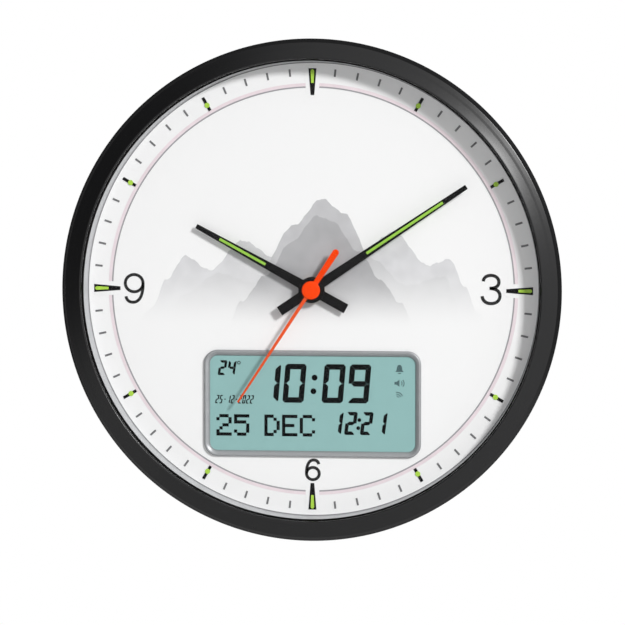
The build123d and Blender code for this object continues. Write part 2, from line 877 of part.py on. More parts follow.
with BuildPart() as coil_winding:
    with BuildSketch(Plane.YZ.offset(coil_middle - coil_length / 2 + bobbin_flange)):
        with Locations((-core_centre, coil_height)):
            winding_outline = Rectangle(coil_size - 2 * end_shake, coil_size - 2 * end_shake)
            chamfer(winding_outline.vertices(), coil_bevel)
            Rectangle(
                core_sheet + 2 * bobbin_wall,
                core_height + 2 * bobbin_wall,
                mode=Mode.SUBTRACT,
            )
    extrude(amount=coil_length - 2 * bobbin_flange)
coil_winding.part.label = "coil_winding"
export_step(coil_winding.part, "parts/coil_winding.step")

# ------------------------------------------------------------------ movement: wheels
# The plastic pinions run the whole length of their arbors.

with BuildPart() as rotor:
    with BuildSketch(facing(arbor_rear)):
        pinion_outline(rotor_place, rotor_leaves, rotor_module, rotor_phase)
    extrude(amount=arbor_front - arbor_rear)
    with BuildSketch(facing(stator_rear - (magnet_height - stator_sheet) / 2)):
        with Locations(rotor_place):
            Circle(magnet_radius)
    extrude(amount=magnet_height)
rotor.part.label = "rotor"
export_step(rotor.part, "parts/rotor.step")

with BuildPart() as step_wheel:
    with BuildSketch(facing(arbor_rear)):
        pinion_outline(step_place, step_leaves, step_module, step_pinion_phase)
    extrude(amount=arbor_front - arbor_rear)
    with BuildSketch(facing(step_wheel_rear)):
        wheel_outline(step_place, step_teeth, rotor_module, 0)
    extrude(amount=wheel_sheet)
step_wheel.part.label = "step_wheel"
export_step(step_wheel.part, "parts/step_wheel.step")

with BuildPart() as second_wheel:
    with BuildSketch(facing(arbor_rear)):
        pinion_outline(centre, second_leaves, second_module, 0)
    extrude(amount=third_wheel_front + layer_gap - arbor_rear)
    with BuildSketch(facing(second_wheel_rear)):
        wheel_outline(centre, second_teeth, step_module, 0)
    extrude(amount=wheel_sheet)
    with BuildSketch(facing(third_wheel_front)):
        Circle(second_arbor_radius)
    extrude(amount=second_hand_depth + second_sheet - third_wheel_front)
second_wheel.part.label = "second_wheel"
export_step(second_wheel.part, "parts/second_wheel.step")

with BuildPart() as third_wheel:
    with BuildSketch(facing(arbor_rear)):
        pinion_outline(third_place, third_leaves, third_module, 0)
    extrude(amount=centre_wheel_front + layer_gap - arbor_rear)
    with BuildSketch(facing(third_wheel_rear)):
        wheel_outline(third_place, third_teeth, second_module, third_phase)
    extrude(amount=wheel_sheet)
third_wheel.part.label = "third_wheel"
export_step(third_wheel.part, "parts/third_wheel.step")

# The centre wheel turns on the minute arbor, which it drives by friction, so that the hands can
# be set.
with BuildPart() as centre_wheel:
    with BuildSketch(facing(centre_wheel_rear)):
        wheel_outline(centre, centre_teeth, third_module, centre_phase)
        Circle(minute_tube_radius + shaft_clearance, mode=Mode.SUBTRACT)
    extrude(amount=wheel_sheet)
centre_wheel.part.label = "centre_wheel"
export_step(centre_wheel.part, "parts/centre_wheel.step")

with BuildPart() as minute_arbor:
    with BuildSketch(facing(minute_tube_rear)):
        Circle(minute_tube_radius)
    extrude(amount=minute_tube_front - minute_tube_rear)
    with BuildSketch(facing(minute_pinion_rear)):
        pinion_outline(centre, minute_leaves, set_module, 0)
    extrude(amount=minute_pinion_front - minute_pinion_rear)
    with BuildSketch(facing(minute_tube_rear)):
        Circle(second_arbor_radius + shaft_clearance)
    extrude(amount=minute_tube_front - minute_tube_rear, mode=Mode.SUBTRACT)
minute_arbor.part.label = "minute_arbor"
export_step(minute_arbor.part, "parts/minute_arbor.step")

knob_front = movement_rear - set_knob_gap
with BuildPart() as set_wheel:
    with BuildSketch(facing(knob_front)):
        with Locations(set_place):
            Circle(set_arbor_radius)
    extrude(amount=set_wheel_front - knob_front)
    with BuildSketch(facing(set_wheel_rear)):
        wheel_outline(set_place, set_teeth, set_module, set_phase)
    extrude(amount=wheel_sheet)
    with BuildSketch(facing(set_wheel_front)):
        pinion_outline(set_place, set_leaves, hour_module, 0)
    extrude(amount=plate_inner - end_shake - set_wheel_front)
set_wheel.part.label = "set_wheel"
export_step(set_wheel.part, "parts/set_wheel.step")

with BuildPart() as set_knob:
    with BuildSketch(facing(knob_front - set_knob_length)):
        with Locations(set_place):
            RegularPolygon(set_knob_radius, set_knob_sides)
    extrude(amount=set_knob_length)
set_knob.part.label = "set_knob"
export_step(set_knob.part, "parts/set_knob.step")

with BuildPart() as hour_wheel:
    with BuildSketch(facing(hour_wheel_rear)):
        Circle(hour_tube_radius)
    extrude(amount=hour_tube_front - hour_wheel_rear)
    with BuildSketch(facing(hour_wheel_rear)):
        wheel_outline(centre, hour_teeth, hour_module, hour_phase)
    extrude(amount=wheel_sheet)
    with BuildSketch(facing(hour_wheel_rear)):
        Circle(minute_tube_radius + shaft_clearance)
    extrude(amount=hour_tube_front - hour_wheel_rear, mode=Mode.SUBTRACT)
hour_wheel.part.label = "hour_wheel"
export_step(hour_wheel.part, "parts/hour_wheel.step")

# ------------------------------------------------------------------ movement: power and control

movement_board_left = movement_inner - movement_board_width
with BuildPart() as movement_board:
    with BuildSketch(facing(gear_floor)):
        span(movement_board_left, movement_inner, gear_bottom, gear_top)
    extrude(amount=movement_board_sheet)
movement_board.part.label = "movement_board"
export_step(movement_board.part, "parts/movement_board.step")

crystal_depth = gear_floor + movement_board_sheet + crystal_radius
with BuildPart() as crystal:
    with BuildSketch(Plane.XY):
        with Locations((movement_inner - movement_board_width / 2, -crystal_depth)):
            Circle(crystal_radius)
    extrude(amount=crystal_length)
crystal.part.label = "crystal"
export_step(crystal.part, "parts/crystal.step")

# The cell stands against a flat contact and is pressed by a bowed leaf at its other end.
cell_end = movement_inner - contact_sheet
cell_start = cell_end - cell_length
with BuildPart() as movement_contacts:
    with BuildSketch(Plane.YZ.offset(cell_end)):
        with Locations((-cell_depth, cell_height)):
            Rectangle(contact_width, contact_width)
    extrude(amount=contact_sheet)
    with BuildSketch(facing(cell_depth - contact_width / 2)):
        with BuildLine():
            Polyline(
                (-movement_inner, cell_height - contact_bow + contact_sheet),
                (-movement_inner, cell_height - contact_bow),
                (cell_start, cell_height),
                (-movement_inner, cell_height + contact_bow),
                (-movement_inner, cell_height + contact_bow - contact_sheet),
                (cell_start - contact_sheet, cell_height),
                close=True,
            )
        make_face()
    extrude(amount=contact_width)
movement_contacts.part.label = "movement_contacts"
export_step(movement_contacts.part, "parts/movement_contacts.step")

with BuildPart() as movement_cell:
    with BuildSketch(Plane.YZ.offset(cell_start)):
        with Locations((-cell_depth, cell_height)):
            RegularPolygon(cell_radius, cell_sides)
    extrude(amount=cell_length)
movement_cell.part.label = "movement_cell"
export_step(movement_cell.part, "parts/movement_cell.step")

# ------------------------------------------------------------------ hands

with BuildPart() as hour_hand:
    with BuildSketch(hand_plane(hour_hand_depth, hour_angle)):
        hand_outline(hour_length, hour_tail, hour_tube_radius, hour_lume_start, hour_lume_length)
    extrude(amount=hand_sheet)
hour_hand.part.label = "hour_hand"
export_step(hour_hand.part, "parts/hour_hand.step")

with BuildPart() as hour_hand_lume:
    with BuildSketch(hand_plane(hour_hand_depth, hour_angle)):
        with Locations((0, hour_lume_start + hour_lume_length / 2)):
            Rectangle(lume_width, hour_lume_length)
    extrude(amount=hand_sheet)
hour_hand_lume.part.label = "hour_hand_lume"
export_step(hour_hand_lume.part, "parts/hour_hand_lume.step")

with BuildPart() as minute_hand:
    with BuildSketch(hand_plane(minute_hand_depth, minute_angle)):
        hand_outline(
            minute_length,
            minute_tail,
            minute_tube_radius,
            minute_lume_start,
            minute_lume_length,
        )
    extrude(amount=hand_sheet)
minute_hand.part.label = "minute_hand"
export_step(minute_hand.part, "parts/minute_hand.step")

with BuildPart() as minute_hand_lume:
    with BuildSketch(hand_plane(minute_hand_depth, minute_angle)):
        with Locations((0, minute_lume_start + minute_lume_length / 2)):
            Rectangle(lume_width, minute_lume_length)
    extrude(amount=hand_sheet)
minute_hand_lume.part.label = "minute_hand_lume"
export_step(minute_hand_lume.part, "parts/minute_hand_lume.step")

second_hub_depth = second_hand_depth - end_shake
with BuildPart() as second_hand:
    with BuildSketch(hand_plane(second_hand_depth, second_angle)):
        Polygon(
            (-second_root_width / 2, 0),
            (second_root_width / 2, 0),
            (second_tip_width / 2, second_length),
            (-second_tip_width / 2, second_length),
            align=None,
        )
        Polygon(
            (-second_tail_width / 2, 0),
            (-second_tail_end_width / 2, -second_tail),
            (second_tail_end_width / 2, -second_tail),
            (second_tail_width / 2, 0),
            align=None,
        )
    extrude(amount=second_sheet)
    with BuildSketch(hand_plane(second_hub_depth, second_angle)):
        Circle(second_hub_radius)
    extrude(amount=second_hub_height)
    with BuildSketch(hand_plane(second_hub_depth, second_angle)):
        Circle(second_arbor_radius)
    extrude(amount=second_hand_depth + second_sheet - second_hub_depth, mode=Mode.SUBTRACT)
second_hand.part.label = "second_hand"
export_step(second_hand.part, "parts/second_hand.step")

# ------------------------------------------------------------------ display

with BuildPart() as display_frame:
    with BuildSketch(facing(dial_front)):
        with Locations(display_centre):
            RectangleRounded(
                window_width + 2 * frame_width, window_height + 2 * frame_width, frame_corner
            )
            RectangleRounded(window_width, window_height, window_corner, mode=Mode.SUBTRACT)
    extrude(amount=frame_height)
display_frame.part.label = "display_frame"
export_step(display_frame.part, "parts/display_frame.step")

with BuildPart() as display_glass:
    with BuildSketch(facing(glass_rear)):
        with Locations(display_centre):
            Rectangle(glass_width, glass_height)
    extrude(amount=glass_thickness)
display_glass.part.label = "display_glass"
export_step(display_glass.part, "parts/display_glass.step")

strip_place = glass_height - 2 * strip_margin - strip_width
guide_height = strip_place - strip_width - 2 * guide_gap
with BuildPart() as light_guide:
    with BuildSketch(facing(glass_rear - guide_thickness)):
        with Locations(display_centre):
            Rectangle(glass_width - 2 * guide_margin, guide_height)
    extrude(amount=guide_thickness)
light_guide.part.label = "light_guide"
export_step(light_guide.part, "parts/light_guide.step")

with BuildPart() as rubber_strips:
    with BuildSketch(facing(board_front)):
        with Locations(display_centre):
            with GridLocations(1, strip_place, 1, 2):
                Rectangle(glass_width - 2 * guide_margin, strip_width)
    extrude(amount=glass_rear - board_front)
rubber_strips.part.label = "rubber_strips"
export_step(rubber_strips.part, "parts/rubber_strips.step")

tray_inner_width = glass_width + 2 * clearance
tray_inner_height = glass_height + 2 * clearance
with BuildPart() as display_tray:
    with BuildSketch(facing(board_front)):
        with Locations(display_centre):
            Rectangle(tray_inner_width + 2 * tray_wall, tray_inner_height + 2 * tray_wall)
            Rectangle(tray_inner_width, tray_inner_height, mode=Mode.SUBTRACT)
    extrude(amount=dial_depth - board_front)
display_tray.part.label = "display_tray"
export_step(display_tray.part, "parts/display_tray.step")

with BuildPart() as main_board:
    with BuildSketch(facing(board_depth)):
        with Locations(display_centre):
            Rectangle(board_width, board_height)
    extrude(amount=board_thickness)
main_board.part.label = "main_board"
export_step(main_board.part, "parts/main_board.step")

with BuildPart() as chips:
    for chip_x, chip_drop, chip_width, chip_height, chip_rise in chip_drops:
        with BuildSketch(facing(board_depth)):
            with Locations((chip_x, -display_drop - chip_drop)):
                Rectangle(chip_width, chip_height)
        extrude(amount=-chip_rise)
chips.part.label = "chips"
export_step(chips.part, "parts/chips.step")

# ------------------------------------------------------------------ keys and switch
# Each key is a cap in the panel with a flange inside it, and a stem that stops just short of the
# board when the key is pressed.

flange_rear = panel_front + key_gap
flange_front = flange_rear + key_flange
stem_front = board_depth - key_travel - stem_gap
for i, key_name in enumerate(key_names):
    key_place = ((i - (len(key_names) - 1) / 2) * key_pitch, -key_drop)
    with BuildPart() as key:
        with BuildSketch(facing(panel_depth - key_rise)):
            with Locations(key_place):
                Rectangle(key_width, key_height)
        extrude(amount=flange_rear - panel_depth + key_rise)
        with BuildSketch(facing(flange_rear)):
            with Locations(key_place):
                Rectangle(key_width + 2 * key_flange_width, key_height + 2 * key_flange_width)
        extrude(amount=key_flange)
        with BuildSketch(facing(flange_front)):
            with Locations(key_place):
                Rectangle(key_stem, key_stem)
        extrude(amount=stem_front - flange_front)
    key.part.label = key_name
    export_step(key.part, f"parts/{key_name}.step")

switch_body_rear = panel_front + 2 * key_gap
with BuildPart() as switch_slider:
    with BuildSketch(facing(panel_depth - key_rise)):
        with Locations((switch_place - switch_travel / 2, -key_drop)):
            Rectangle(switch_knob, switch_knob)
    extrude(amount=switch_body_rear - key_gap - panel_depth + key_rise)
switch_slider.part.label = "switch_slider"
export_step(switch_slider.part, "parts/switch_slider.step")

with BuildPart() as switch_body:
    with BuildSketch(facing(switch_body_rear)):
        with Locations((switch_place, -key_drop)):
            Rectangle(switch_body_width, switch_body_height)
    extrude(amount=board_depth - switch_body_rear)
switch_body.part.label = "switch_body"
export_step(switch_body.part, "parts/switch_body.step")

# ------------------------------------------------------------------ speaker

with BuildPart() as speaker:
    with BuildSketch(facing(back_wall)):
        with Locations(speaker_place):
            speaker_outline = Rectangle(speaker_size, speaker_size)
            chamfer(speaker_outline.vertices(), speaker_bevel)
    extrude(amount=speaker_frame)
    with BuildSketch(facing(back_wall)):
        with Locations(speaker_place):
            RegularPolygon(cone_radius, cone_sides)
    extrude(amount=cone_sink, mode=Mode.SUBTRACT)
speaker.part.label = "speaker"
export_step(speaker.part, "parts/speaker.step")

with BuildPart() as speaker_magnet:
    with BuildSketch(facing(speaker_front)):
        with Locations(speaker_place):
            magnet_outline = Rectangle(magnet_size, magnet_size)
            chamfer(magnet_outline.vertices(), speaker_bevel)
    extrude(amount=magnet_block)
speaker_magnet.part.label = "speaker_magnet"
export_step(speaker_magnet.part, "parts/speaker_magnet.step")

# ------------------------------------------------------------------ cells of the display

bay_axis_depth = back_wall + cell_gap + cell_radius
with BuildPart() as display_cells:
    for side in (-1, 1):
        with BuildSketch(Plane.YZ.offset(bay_place[0] - cell_length / 2)):
            with Locations((-bay_axis_depth, bay_place[1] + side * cell_pitch / 2)):
                RegularPolygon(cell_radius, cell_sides)
        extrude(amount=cell_length)
display_cells.part.label = "display_cells"
export_step(display_cells.part, "parts/display_cells.step")

with BuildPart() as display_contacts:
    for side in (-1, 1):
        with BuildSketch(Plane.YZ.offset(bay_place[0] + side * bay_length / 2)):
            with Locations((-bay_axis_depth, bay_place[1])):
                with GridLocations(1, cell_pitch, 1, 2):
                    Rectangle(contact_width, contact_width)
        extrude(amount=-side * bay_margin)
display_contacts.part.label = "display_contacts"
export_step(display_contacts.part, "parts/display_contacts.step")

with BuildPart() as battery_door:
    with BuildSketch(facing(door_sink)):
        with Locations(bay_place):
            Rectangle(door_width, door_height)
    extrude(amount=door_sheet)
    with BuildSketch(facing(tongue_rear)):
        for tongue_place in tongue_places:
            with Locations((bay_place[0], bay_place[1] + tongue_place)):
                Rectangle(door_width + 2 * tongue_reach, tongue_length)
    extrude(amount=tongue_sheet)

    # grooves that narrow to an arrow, for the thumb that slides the door down
    with BuildSketch(facing(door_sink)):
        for i in range(grip_count):
            with Locations((bay_place[0], bay_place[1] - grip_drop - i * grip_pitch)):
                Rectangle(grip_width - i * grip_step, grip_groove)
    extrude(amount=grip_depth, mode=Mode.SUBTRACT)
battery_door.part.label = "battery_door"
export_step(battery_door.part, "parts/battery_door.step")
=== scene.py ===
"""Dresses a packed wall clock: moulded case, silver ring, printed dial, hands and display.

The model is loaded as a fixed frame in metres. Sizes in this file are in millimetres, and a
place is given as (x, z, depth), where the depth is measured forward from the wall.
"""

import enum
import logging
import math
from dataclasses import dataclass
from typing import Any

import bmesh
import bpy
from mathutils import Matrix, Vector

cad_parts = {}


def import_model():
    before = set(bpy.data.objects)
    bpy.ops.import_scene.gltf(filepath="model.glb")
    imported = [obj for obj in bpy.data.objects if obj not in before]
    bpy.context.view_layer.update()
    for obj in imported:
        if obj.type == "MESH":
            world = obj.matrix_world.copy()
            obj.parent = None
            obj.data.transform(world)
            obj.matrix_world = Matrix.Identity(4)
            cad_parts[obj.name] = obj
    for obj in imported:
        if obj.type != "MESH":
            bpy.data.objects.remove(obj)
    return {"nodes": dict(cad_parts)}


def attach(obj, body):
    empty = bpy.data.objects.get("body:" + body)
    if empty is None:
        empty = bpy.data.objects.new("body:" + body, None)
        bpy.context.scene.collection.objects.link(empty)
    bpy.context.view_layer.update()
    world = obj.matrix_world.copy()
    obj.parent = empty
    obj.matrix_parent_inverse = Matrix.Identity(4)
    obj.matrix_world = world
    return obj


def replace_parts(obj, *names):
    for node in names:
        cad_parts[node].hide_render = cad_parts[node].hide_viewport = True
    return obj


LOG = logging.getLogger("clock")
MM = 0.001
WELD = 0.002  # corners of the frame's meshes that lie closer than this are joined
ROUNDED = 32  # edges that turn by more than this, in degrees, are rounded where a piece asks for it
CREASED = 31  # edges that turn by more than this stay sharp

Point = tuple[float, float]
Outline = list[Point]
Level = tuple[Outline, float]
Colour = tuple[float, float, float]
Nodes = dict[str, bpy.types.Object]
Socket = bpy.types.NodeSocket
Inputs = dict[str | int, Any]


# ---------------------------------------------------------------------------- finishes


class Graph:
    """The shader nodes of a material or of the world.

    Args:
        owner: the material or world
    """

    def __init__(self, owner: bpy.types.Material | bpy.types.World) -> None:
        """Turns the owner's nodes on."""
        owner.use_nodes = True
        self.tree = owner.node_tree

    def feed(self, node: bpy.types.Node, inputs: Inputs) -> None:
        """Sets inputs of a node, or links them to outputs of others.

        Args:
            node: the node
            inputs: a value or an output for each input, by its name or number
        """
        for key, value in inputs.items():
            if isinstance(value, bpy.types.NodeSocket):
                self.tree.links.new(value, node.inputs[key])
            else:
                node.inputs[key].default_value = value

    def add(self, kind: str, inputs: Inputs | None = None, **settings: str) -> bpy.types.Node:
        """Adds a node.

        Args:
            kind: its type, without the word ShaderNode
            inputs: a value or an output for each input, by its name or number
            settings: its other settings

        Returns:
            the node
        """
        node = self.tree.nodes.new("ShaderNode" + kind)
        for key, value in settings.items():
            setattr(node, key, value)
        self.feed(node, inputs or {})
        return node

    def surface(self) -> Socket:
        """Coordinates of a place on the surface, in its object's own space."""
        return self.add("TexCoord").outputs["Object"]

    def combine(self, operation: str, first: Socket | float, second: Socket | float = 0.0) -> Socket:
        """The result of a calculation on one or two values."""
        return self.add("Math", {0: first, 1: second}, operation=operation).outputs["Value"]

    def span(self, value: Socket, old: Point, new: Point, kind: str = "SMOOTHSTEP") -> Socket:
        """The value with one range of it turned into another."""
        inputs = {"Value": value, "From Min": old[0], "From Max": old[1], "To Min": new[0], "To Max": new[1]}
        return self.add("MapRange", inputs, interpolation_type=kind).outputs["Result"]

    def mix(self, share: Socket, first: Socket, second: Socket, output: str) -> None:
        """Mixes two shaders, by the share of the second, into the output node of that name."""
        mixed = self.add("MixShader", {"Fac": share, 1: first, 2: second}).outputs["Shader"]
        self.feed(self.tree.nodes[output], {"Surface": mixed})


class Grain(enum.Enum):
    """What the fine relief of a finish looks like."""

    SMOOTH = "smooth"
    MOULDED = "moulded"
    BRUSHED = "brushed"
    FIBROUS = "fibrous"


@dataclass(frozen=True)
class Finish:
    """A surface finish, from which a procedural material is made."""

    name: str  # name of the material
    colour: Colour  # red, green and blue as seen, from 0 to 255
    roughness: float = 0.5  # mean roughness of the surface
    grain: Grain = Grain.SMOOTH  # kind of relief
    grain_size: float = 0.6  # size of the relief
    relief: float = 0.0  # strength of the relief
    metallic: float = 0.0  # 1 for bare metal, 0 for anything else
    specular: float = 0.5  # specular level of the base
    coat: float = 0.0  # weight of a clear coat
    variation: float = 0.04  # how much lighter and darker the colour gets from place to place

    UNEVEN = 5.0  # size of the unevenness of the roughness, in grains
    UNEVEN_ENDS = (0.9, 1.1)  # its least and most, as shares of the roughness
    DRIFT = 14.0  # size of the drift of the colour, in grains

    def linear(self, level: float = 1.0) -> tuple[float, float, float, float]:
        """The colour in linear light, lighter or darker by a level.

        Args:
            level: factor on the linear colour

        Returns:
            red, green, blue and 1
        """
        parts = []
        for value in self.colour:
            seen = value / 255
            part = seen / 12.92 if seen <= 0.04045 else ((seen + 0.055) / 1.055) ** 2.4
            parts.append(min(1.0, part * level))
        return (parts[0], parts[1], parts[2], 1.0)

    def material(self) -> bpy.types.Material:
        """The material of this finish, made the first time it is asked for.

        Returns:
            the material
        """
        found = bpy.data.materials.get(self.name)
        if found:
            return found
        made = bpy.data.materials.new(self.name)
        self._fill(Graph(made))
        return made

    def _fill(self, graph: Graph) -> None:
        """Adds colour, roughness and relief to the material's shader.

        Args:
            graph: nodes of the material
        """
        rough = self._noise(graph, self.UNEVEN * self.grain_size, 2.0)
        low, high = (self.roughness * share for share in self.UNEVEN_ENDS)
        inputs = {
            "Metallic": self.metallic,
            "Specular IOR Level": self.specular,
            "Coat Weight": self.coat,
            "Coat Roughness": 0.08,
            "Base Color": self._base(graph),
            "Roughness": graph.span(rough, (0.0, 1.0), (low, high), "LINEAR"),
        }
        if self.relief > 0:
            inputs["Normal"] = self._bump(graph)
        graph.feed(graph.tree.nodes["Principled BSDF"], inputs)

    def _noise(self, graph: Graph, size: float, detail: float) -> Socket:
        """Adds a noise texture, drawn out along x on a brushed finish.

        Args:
            graph: nodes of the material
            size: size of its features
            detail: how many finer layers it has

        Returns:
            the noise, from 0 to 1
        """
        place = graph.surface()
        if self.grain is Grain.BRUSHED:
            place = graph.add("Mapping", {"Vector": place, "Scale": (0.04, 1.0, 1.0)}).outputs["Vector"]
        inputs = {"Vector": place, "Scale": 1 / (size * MM), "Detail": detail}
        return graph.add("TexNoise", inputs).outputs["Fac"]

    def _shades(self, graph: Graph, size: float, detail: float, ends: Point) -> Socket:
        """Turns a noise into darker and lighter shades of the colour.

        Args:
            graph: nodes of the material
            size: size of the noise's features
            detail: how many finer layers it has
            ends: noise at which the colour is darkest and lightest

        Returns:
            the colour
        """
        ramp = graph.add("ValToRGB", {"Fac": self._noise(graph, size, detail)})
        for stop, place, step in zip(ramp.color_ramp.elements, ends, (-self.variation, self.variation)):
            stop.position = place
            stop.color = self.linear(1 + step)
        return ramp.outputs["Color"]

    def _base(self, graph: Graph) -> Socket:
        """The base colour, which drifts a little from place to place."""
        return self._shades(graph, self.DRIFT * self.grain_size, 3.0, (0.3, 0.7))

    def _bump(self, graph: Graph) -> Socket:
        """Makes the fine relief.

        Args:
            graph: nodes of the material

        Returns:
            the bumpy normal
        """
        if self.grain is Grain.MOULDED:
            cells = graph.add("TexVoronoi", {"Vector": graph.surface(), "Scale": 1 / (self.grain_size * MM)})
            height = cells.outputs["Distance"]
        else:
            height = self._noise(graph, self.grain_size, 6.0)
        inputs = {"Strength": self.relief, "Distance": 0.1 * self.grain_size * MM, "Height": height}
        return graph.add("Bump", inputs).outputs["Normal"]


@dataclass(frozen=True)
class FadingFinish(Finish):
    """A print that fades from its colour to the card's white as z falls."""

    fade_from: float = 20.0  # z where the print is at its full colour
    fade_to: float = -26.0  # z where it has gone
    ground: Colour = (246, 246, 246)  # colour of the card that it fades into
    mottle: float = 9.0  # size of the spots in the ink

    def _base(self, graph: Graph) -> Socket:
        """Mixes the print into the card by height, with a soft mottle.

        Args:
            graph: nodes of the material

        Returns:
            the colour
        """
        height = graph.add("SeparateXYZ", {"Vector": graph.surface()}).outputs["Z"]
        share = graph.span(height, (self.fade_to * MM, self.fade_from * MM), (0.0, 1.0))
        ink = self._shades(graph, self.mottle, 4.0, (0.35, 0.65))
        card = Finish("ground", self.ground).linear()
        return graph.add("Mix", {0: share, 6: card, 7: ink}, data_type="RGBA").outputs[2]


@dataclass(frozen=True)
class ClearFinish(Finish):
    """Clear glass that lets lamps through and mirrors mostly at a slant."""

    straight: float = 0.004  # what it mirrors of a ray that meets it head on
    slant: float = 0.5  # what it mirrors of a ray that grazes it

    def _fill(self, graph: Graph) -> None:
        """Makes a see-through shader with a mirror that grows towards the slant.

        Args:
            graph: nodes of the material
        """
        graph.tree.nodes.remove(graph.tree.nodes["Principled BSDF"])
        clear = graph.add("BsdfTransparent", {"Color": self.linear()}).outputs["BSDF"]
        mirror = graph.add("BsdfGlossy", {"Roughness": self.roughness}).outputs["BSDF"]
        facing = graph.add("LayerWeight", {"Blend": 0.5}).outputs["Facing"]
        power = graph.combine("POWER", facing, 4.0)
        share = graph.span(power, (0.0, 1.0), (self.straight, self.slant), "LINEAR")
        graph.mix(share, clear, mirror, "Material Output")


RIM_BLACK = Finish("rim_black", (20, 20, 21), 0.26, Grain.MOULDED, 0.35, 0.08, specular=0.36)
LIP_BLACK = Finish("lip_black", (10, 10, 10), 0.8, Grain.MOULDED, 0.35, 0.2, specular=0.05)
CASE_BLACK = Finish("case_black", (30, 30, 31), 0.55, Grain.MOULDED, 0.8, 0.5)
KEY_GREY = Finish("key_grey", (104, 104, 107), 0.6, Grain.MOULDED, 0.5, 0.3)
# painted contact shade: a grey that stands in for the shadow where the silver ring meets the dial
RING_FOOT_SHADE = Finish("ring_foot_painted_shade", (138, 138, 140), 0.5, specular=0.2)
RING_SILVER = Finish("ring_silver", (192, 193, 195), 0.38, Grain.FIBROUS, 0.4, 0.08, metallic=0.35)
CARD_WHITE = Finish(
    "card_white", (246, 246, 246), 0.55, Grain.FIBROUS, 0.3, 0.06, specular=0.3, variation=0.006
)
INK_BLACK = Finish("ink_black", (26, 26, 27), 0.5, specular=0.3)
INK_DARK = Finish("ink_dark", (112, 112, 114), 0.5, specular=0.3)
INK_GREY = Finish("ink_grey", (158, 157, 160), 0.5, specular=0.3)
INK_PINK = Finish("ink_pink", (236, 222, 227), 0.5, specular=0.3)
MARKER_BLACK = Finish("marker_black", (15, 15, 16), 0.38, Grain.MOULDED, 0.3, 0.1, specular=0.1)
LUME_GREEN = Finish("luminous_paint", (148, 200, 66), 0.7, Grain.FIBROUS, 0.25, 0.35, variation=0.08)
MARKER_LUME = Finish("marker_paint", (174, 218, 68), 0.7, Grain.FIBROUS, 0.25, 0.35, variation=0.08)
HAND_BLACK = Finish("hand_black", (15, 15, 16), 0.38, Grain.MOULDED, 0.3, 0.08, specular=0.1)
HAND_ORANGE = Finish("hand_orange", (252, 68, 0), 0.45, Grain.FIBROUS, relief=0.04, specular=0.1)
NEEDLE_RED = Finish("needle_red", (228, 84, 38), 0.5, Grain.FIBROUS, relief=0.04, specular=0.1)
FRAME_SILVER = Finish("frame_silver", (158, 160, 162), 0.42, Grain.BRUSHED, 0.3, 0.08, metallic=0.4)
FILM = Finish("polariser", (145, 186, 184), 0.35, Grain.FIBROUS, 0.5, 0.03, specular=0.2, variation=0.015)
SEGMENT = Finish("display_segment", (8, 11, 12), 0.5, specular=0.05)
SEGMENT_FAINT = Finish("display_segment_faint", (78, 104, 106), 0.5, specular=0.1)
GLASS = ClearFinish("lens_glass", (254, 254, 254), 0.02)
STEEL = Finish("plated_steel", (176, 178, 176), 0.36, Grain.BRUSHED, 0.4, 0.2, metallic=1.0)
COPPER = Finish("copper_wire", (182, 96, 54), 0.35, Grain.BRUSHED, relief=0.4, metallic=0.9)
BRASS = Finish("turned_brass", (196, 164, 92), 0.3, Grain.BRUSHED, relief=0.15, metallic=1.0)
ACETAL = Finish("natural_acetal", (224, 224, 216), 0.45, Grain.MOULDED, relief=0.1)
SOLDER_GREEN = Finish("solder_mask", (28, 92, 56), 0.3, Grain.FIBROUS, relief=0.1, coat=0.3)
RUBBER = Finish("soft_rubber", (28, 28, 28), 0.8, Grain.MOULDED, 0.3, 0.3)
CELL_GREY = Finish("cell_sleeve", (120, 124, 130), 0.3, Grain.BRUSHED, relief=0.1, metallic=0.5, coat=0.3)


# ---------------------------------------------------------------------------- meshes


def spot(x: float, z: float, depth: float) -> Vector:
    """The point of the scene, in metres, for a place given in millimetres."""
    return Vector((x * MM, -depth * MM, z * MM))


def turned(outline: Outline, dial_angle: float) -> Outline:
    """An outline drawn upright, once it has been turned clockwise about the shaft.

    Args:
        outline: its points
        dial_angle: the turn, in degrees

    Returns:
        the points after the turn
    """
    turn = math.radians(dial_angle)
    cos, sin = math.cos(turn), math.sin(turn)
    return [(x * cos + z * sin, -x * sin + z * cos) for x, z in outline]


def moved(outline: Outline, x: float, z: float) -> Outline:
    """The outline, shifted."""
    return [(a + x, b + z) for a, b in outline]


def arc(centre: Point, radius: float, start: float, end: float, steps: int) -> Outline:
    """Points along an arc between two angles, in degrees counter-clockwise from +x."""
    turns = [math.radians(start + (end - start) * i / steps) for i in range(steps + 1)]
    return [(centre[0] + radius * math.cos(t), centre[1] + radius * math.sin(t)) for t in turns]


def circle(centre: Point, radius: float, steps: int) -> Outline:
    """Points round a circle, counter-clockwise from +x."""
    return arc(centre, radius, 0, 360 - 360 / steps, steps - 1)


def rounded_box(width: float, height: float, corner: float, steps: int = 8) -> Outline:
    """Outline of a rectangle with round corners about the origin, counter-clockwise.

    Args:
        width: full width
        height: full height
        corner: radius of the corners
        steps: chords in each corner

    Returns:
        the outline
    """
    x, z = width / 2 - corner, height / 2 - corner
    outline = []
    for centre, start in (((x, z), 0), ((-x, z), 90), ((-x, -z), 180), ((x, -z), 270)):
        outline += arc(centre, corner, start, start + 90, steps)
    return outline


def bezier(points: Outline, steps: int = 10) -> Outline:
    """Points along joined cubic curves.

    Args:
        points: start, then two handles and an end for each curve
        steps: chords in each curve

    Returns:
        the points
    """
    line = [points[0]]
    for i in range(0, len(points) - 1, 3):
        for k in range(1, steps + 1):
            t = k / steps
            weights = ((1 - t) ** 3, 3 * t * (1 - t) ** 2, 3 * t * t * (1 - t), t**3)
            parts = list(zip(weights, points[i : i + 4]))
            line.append((sum(w * p[0] for w, p in parts), sum(w * p[1] for w, p in parts)))
    return line


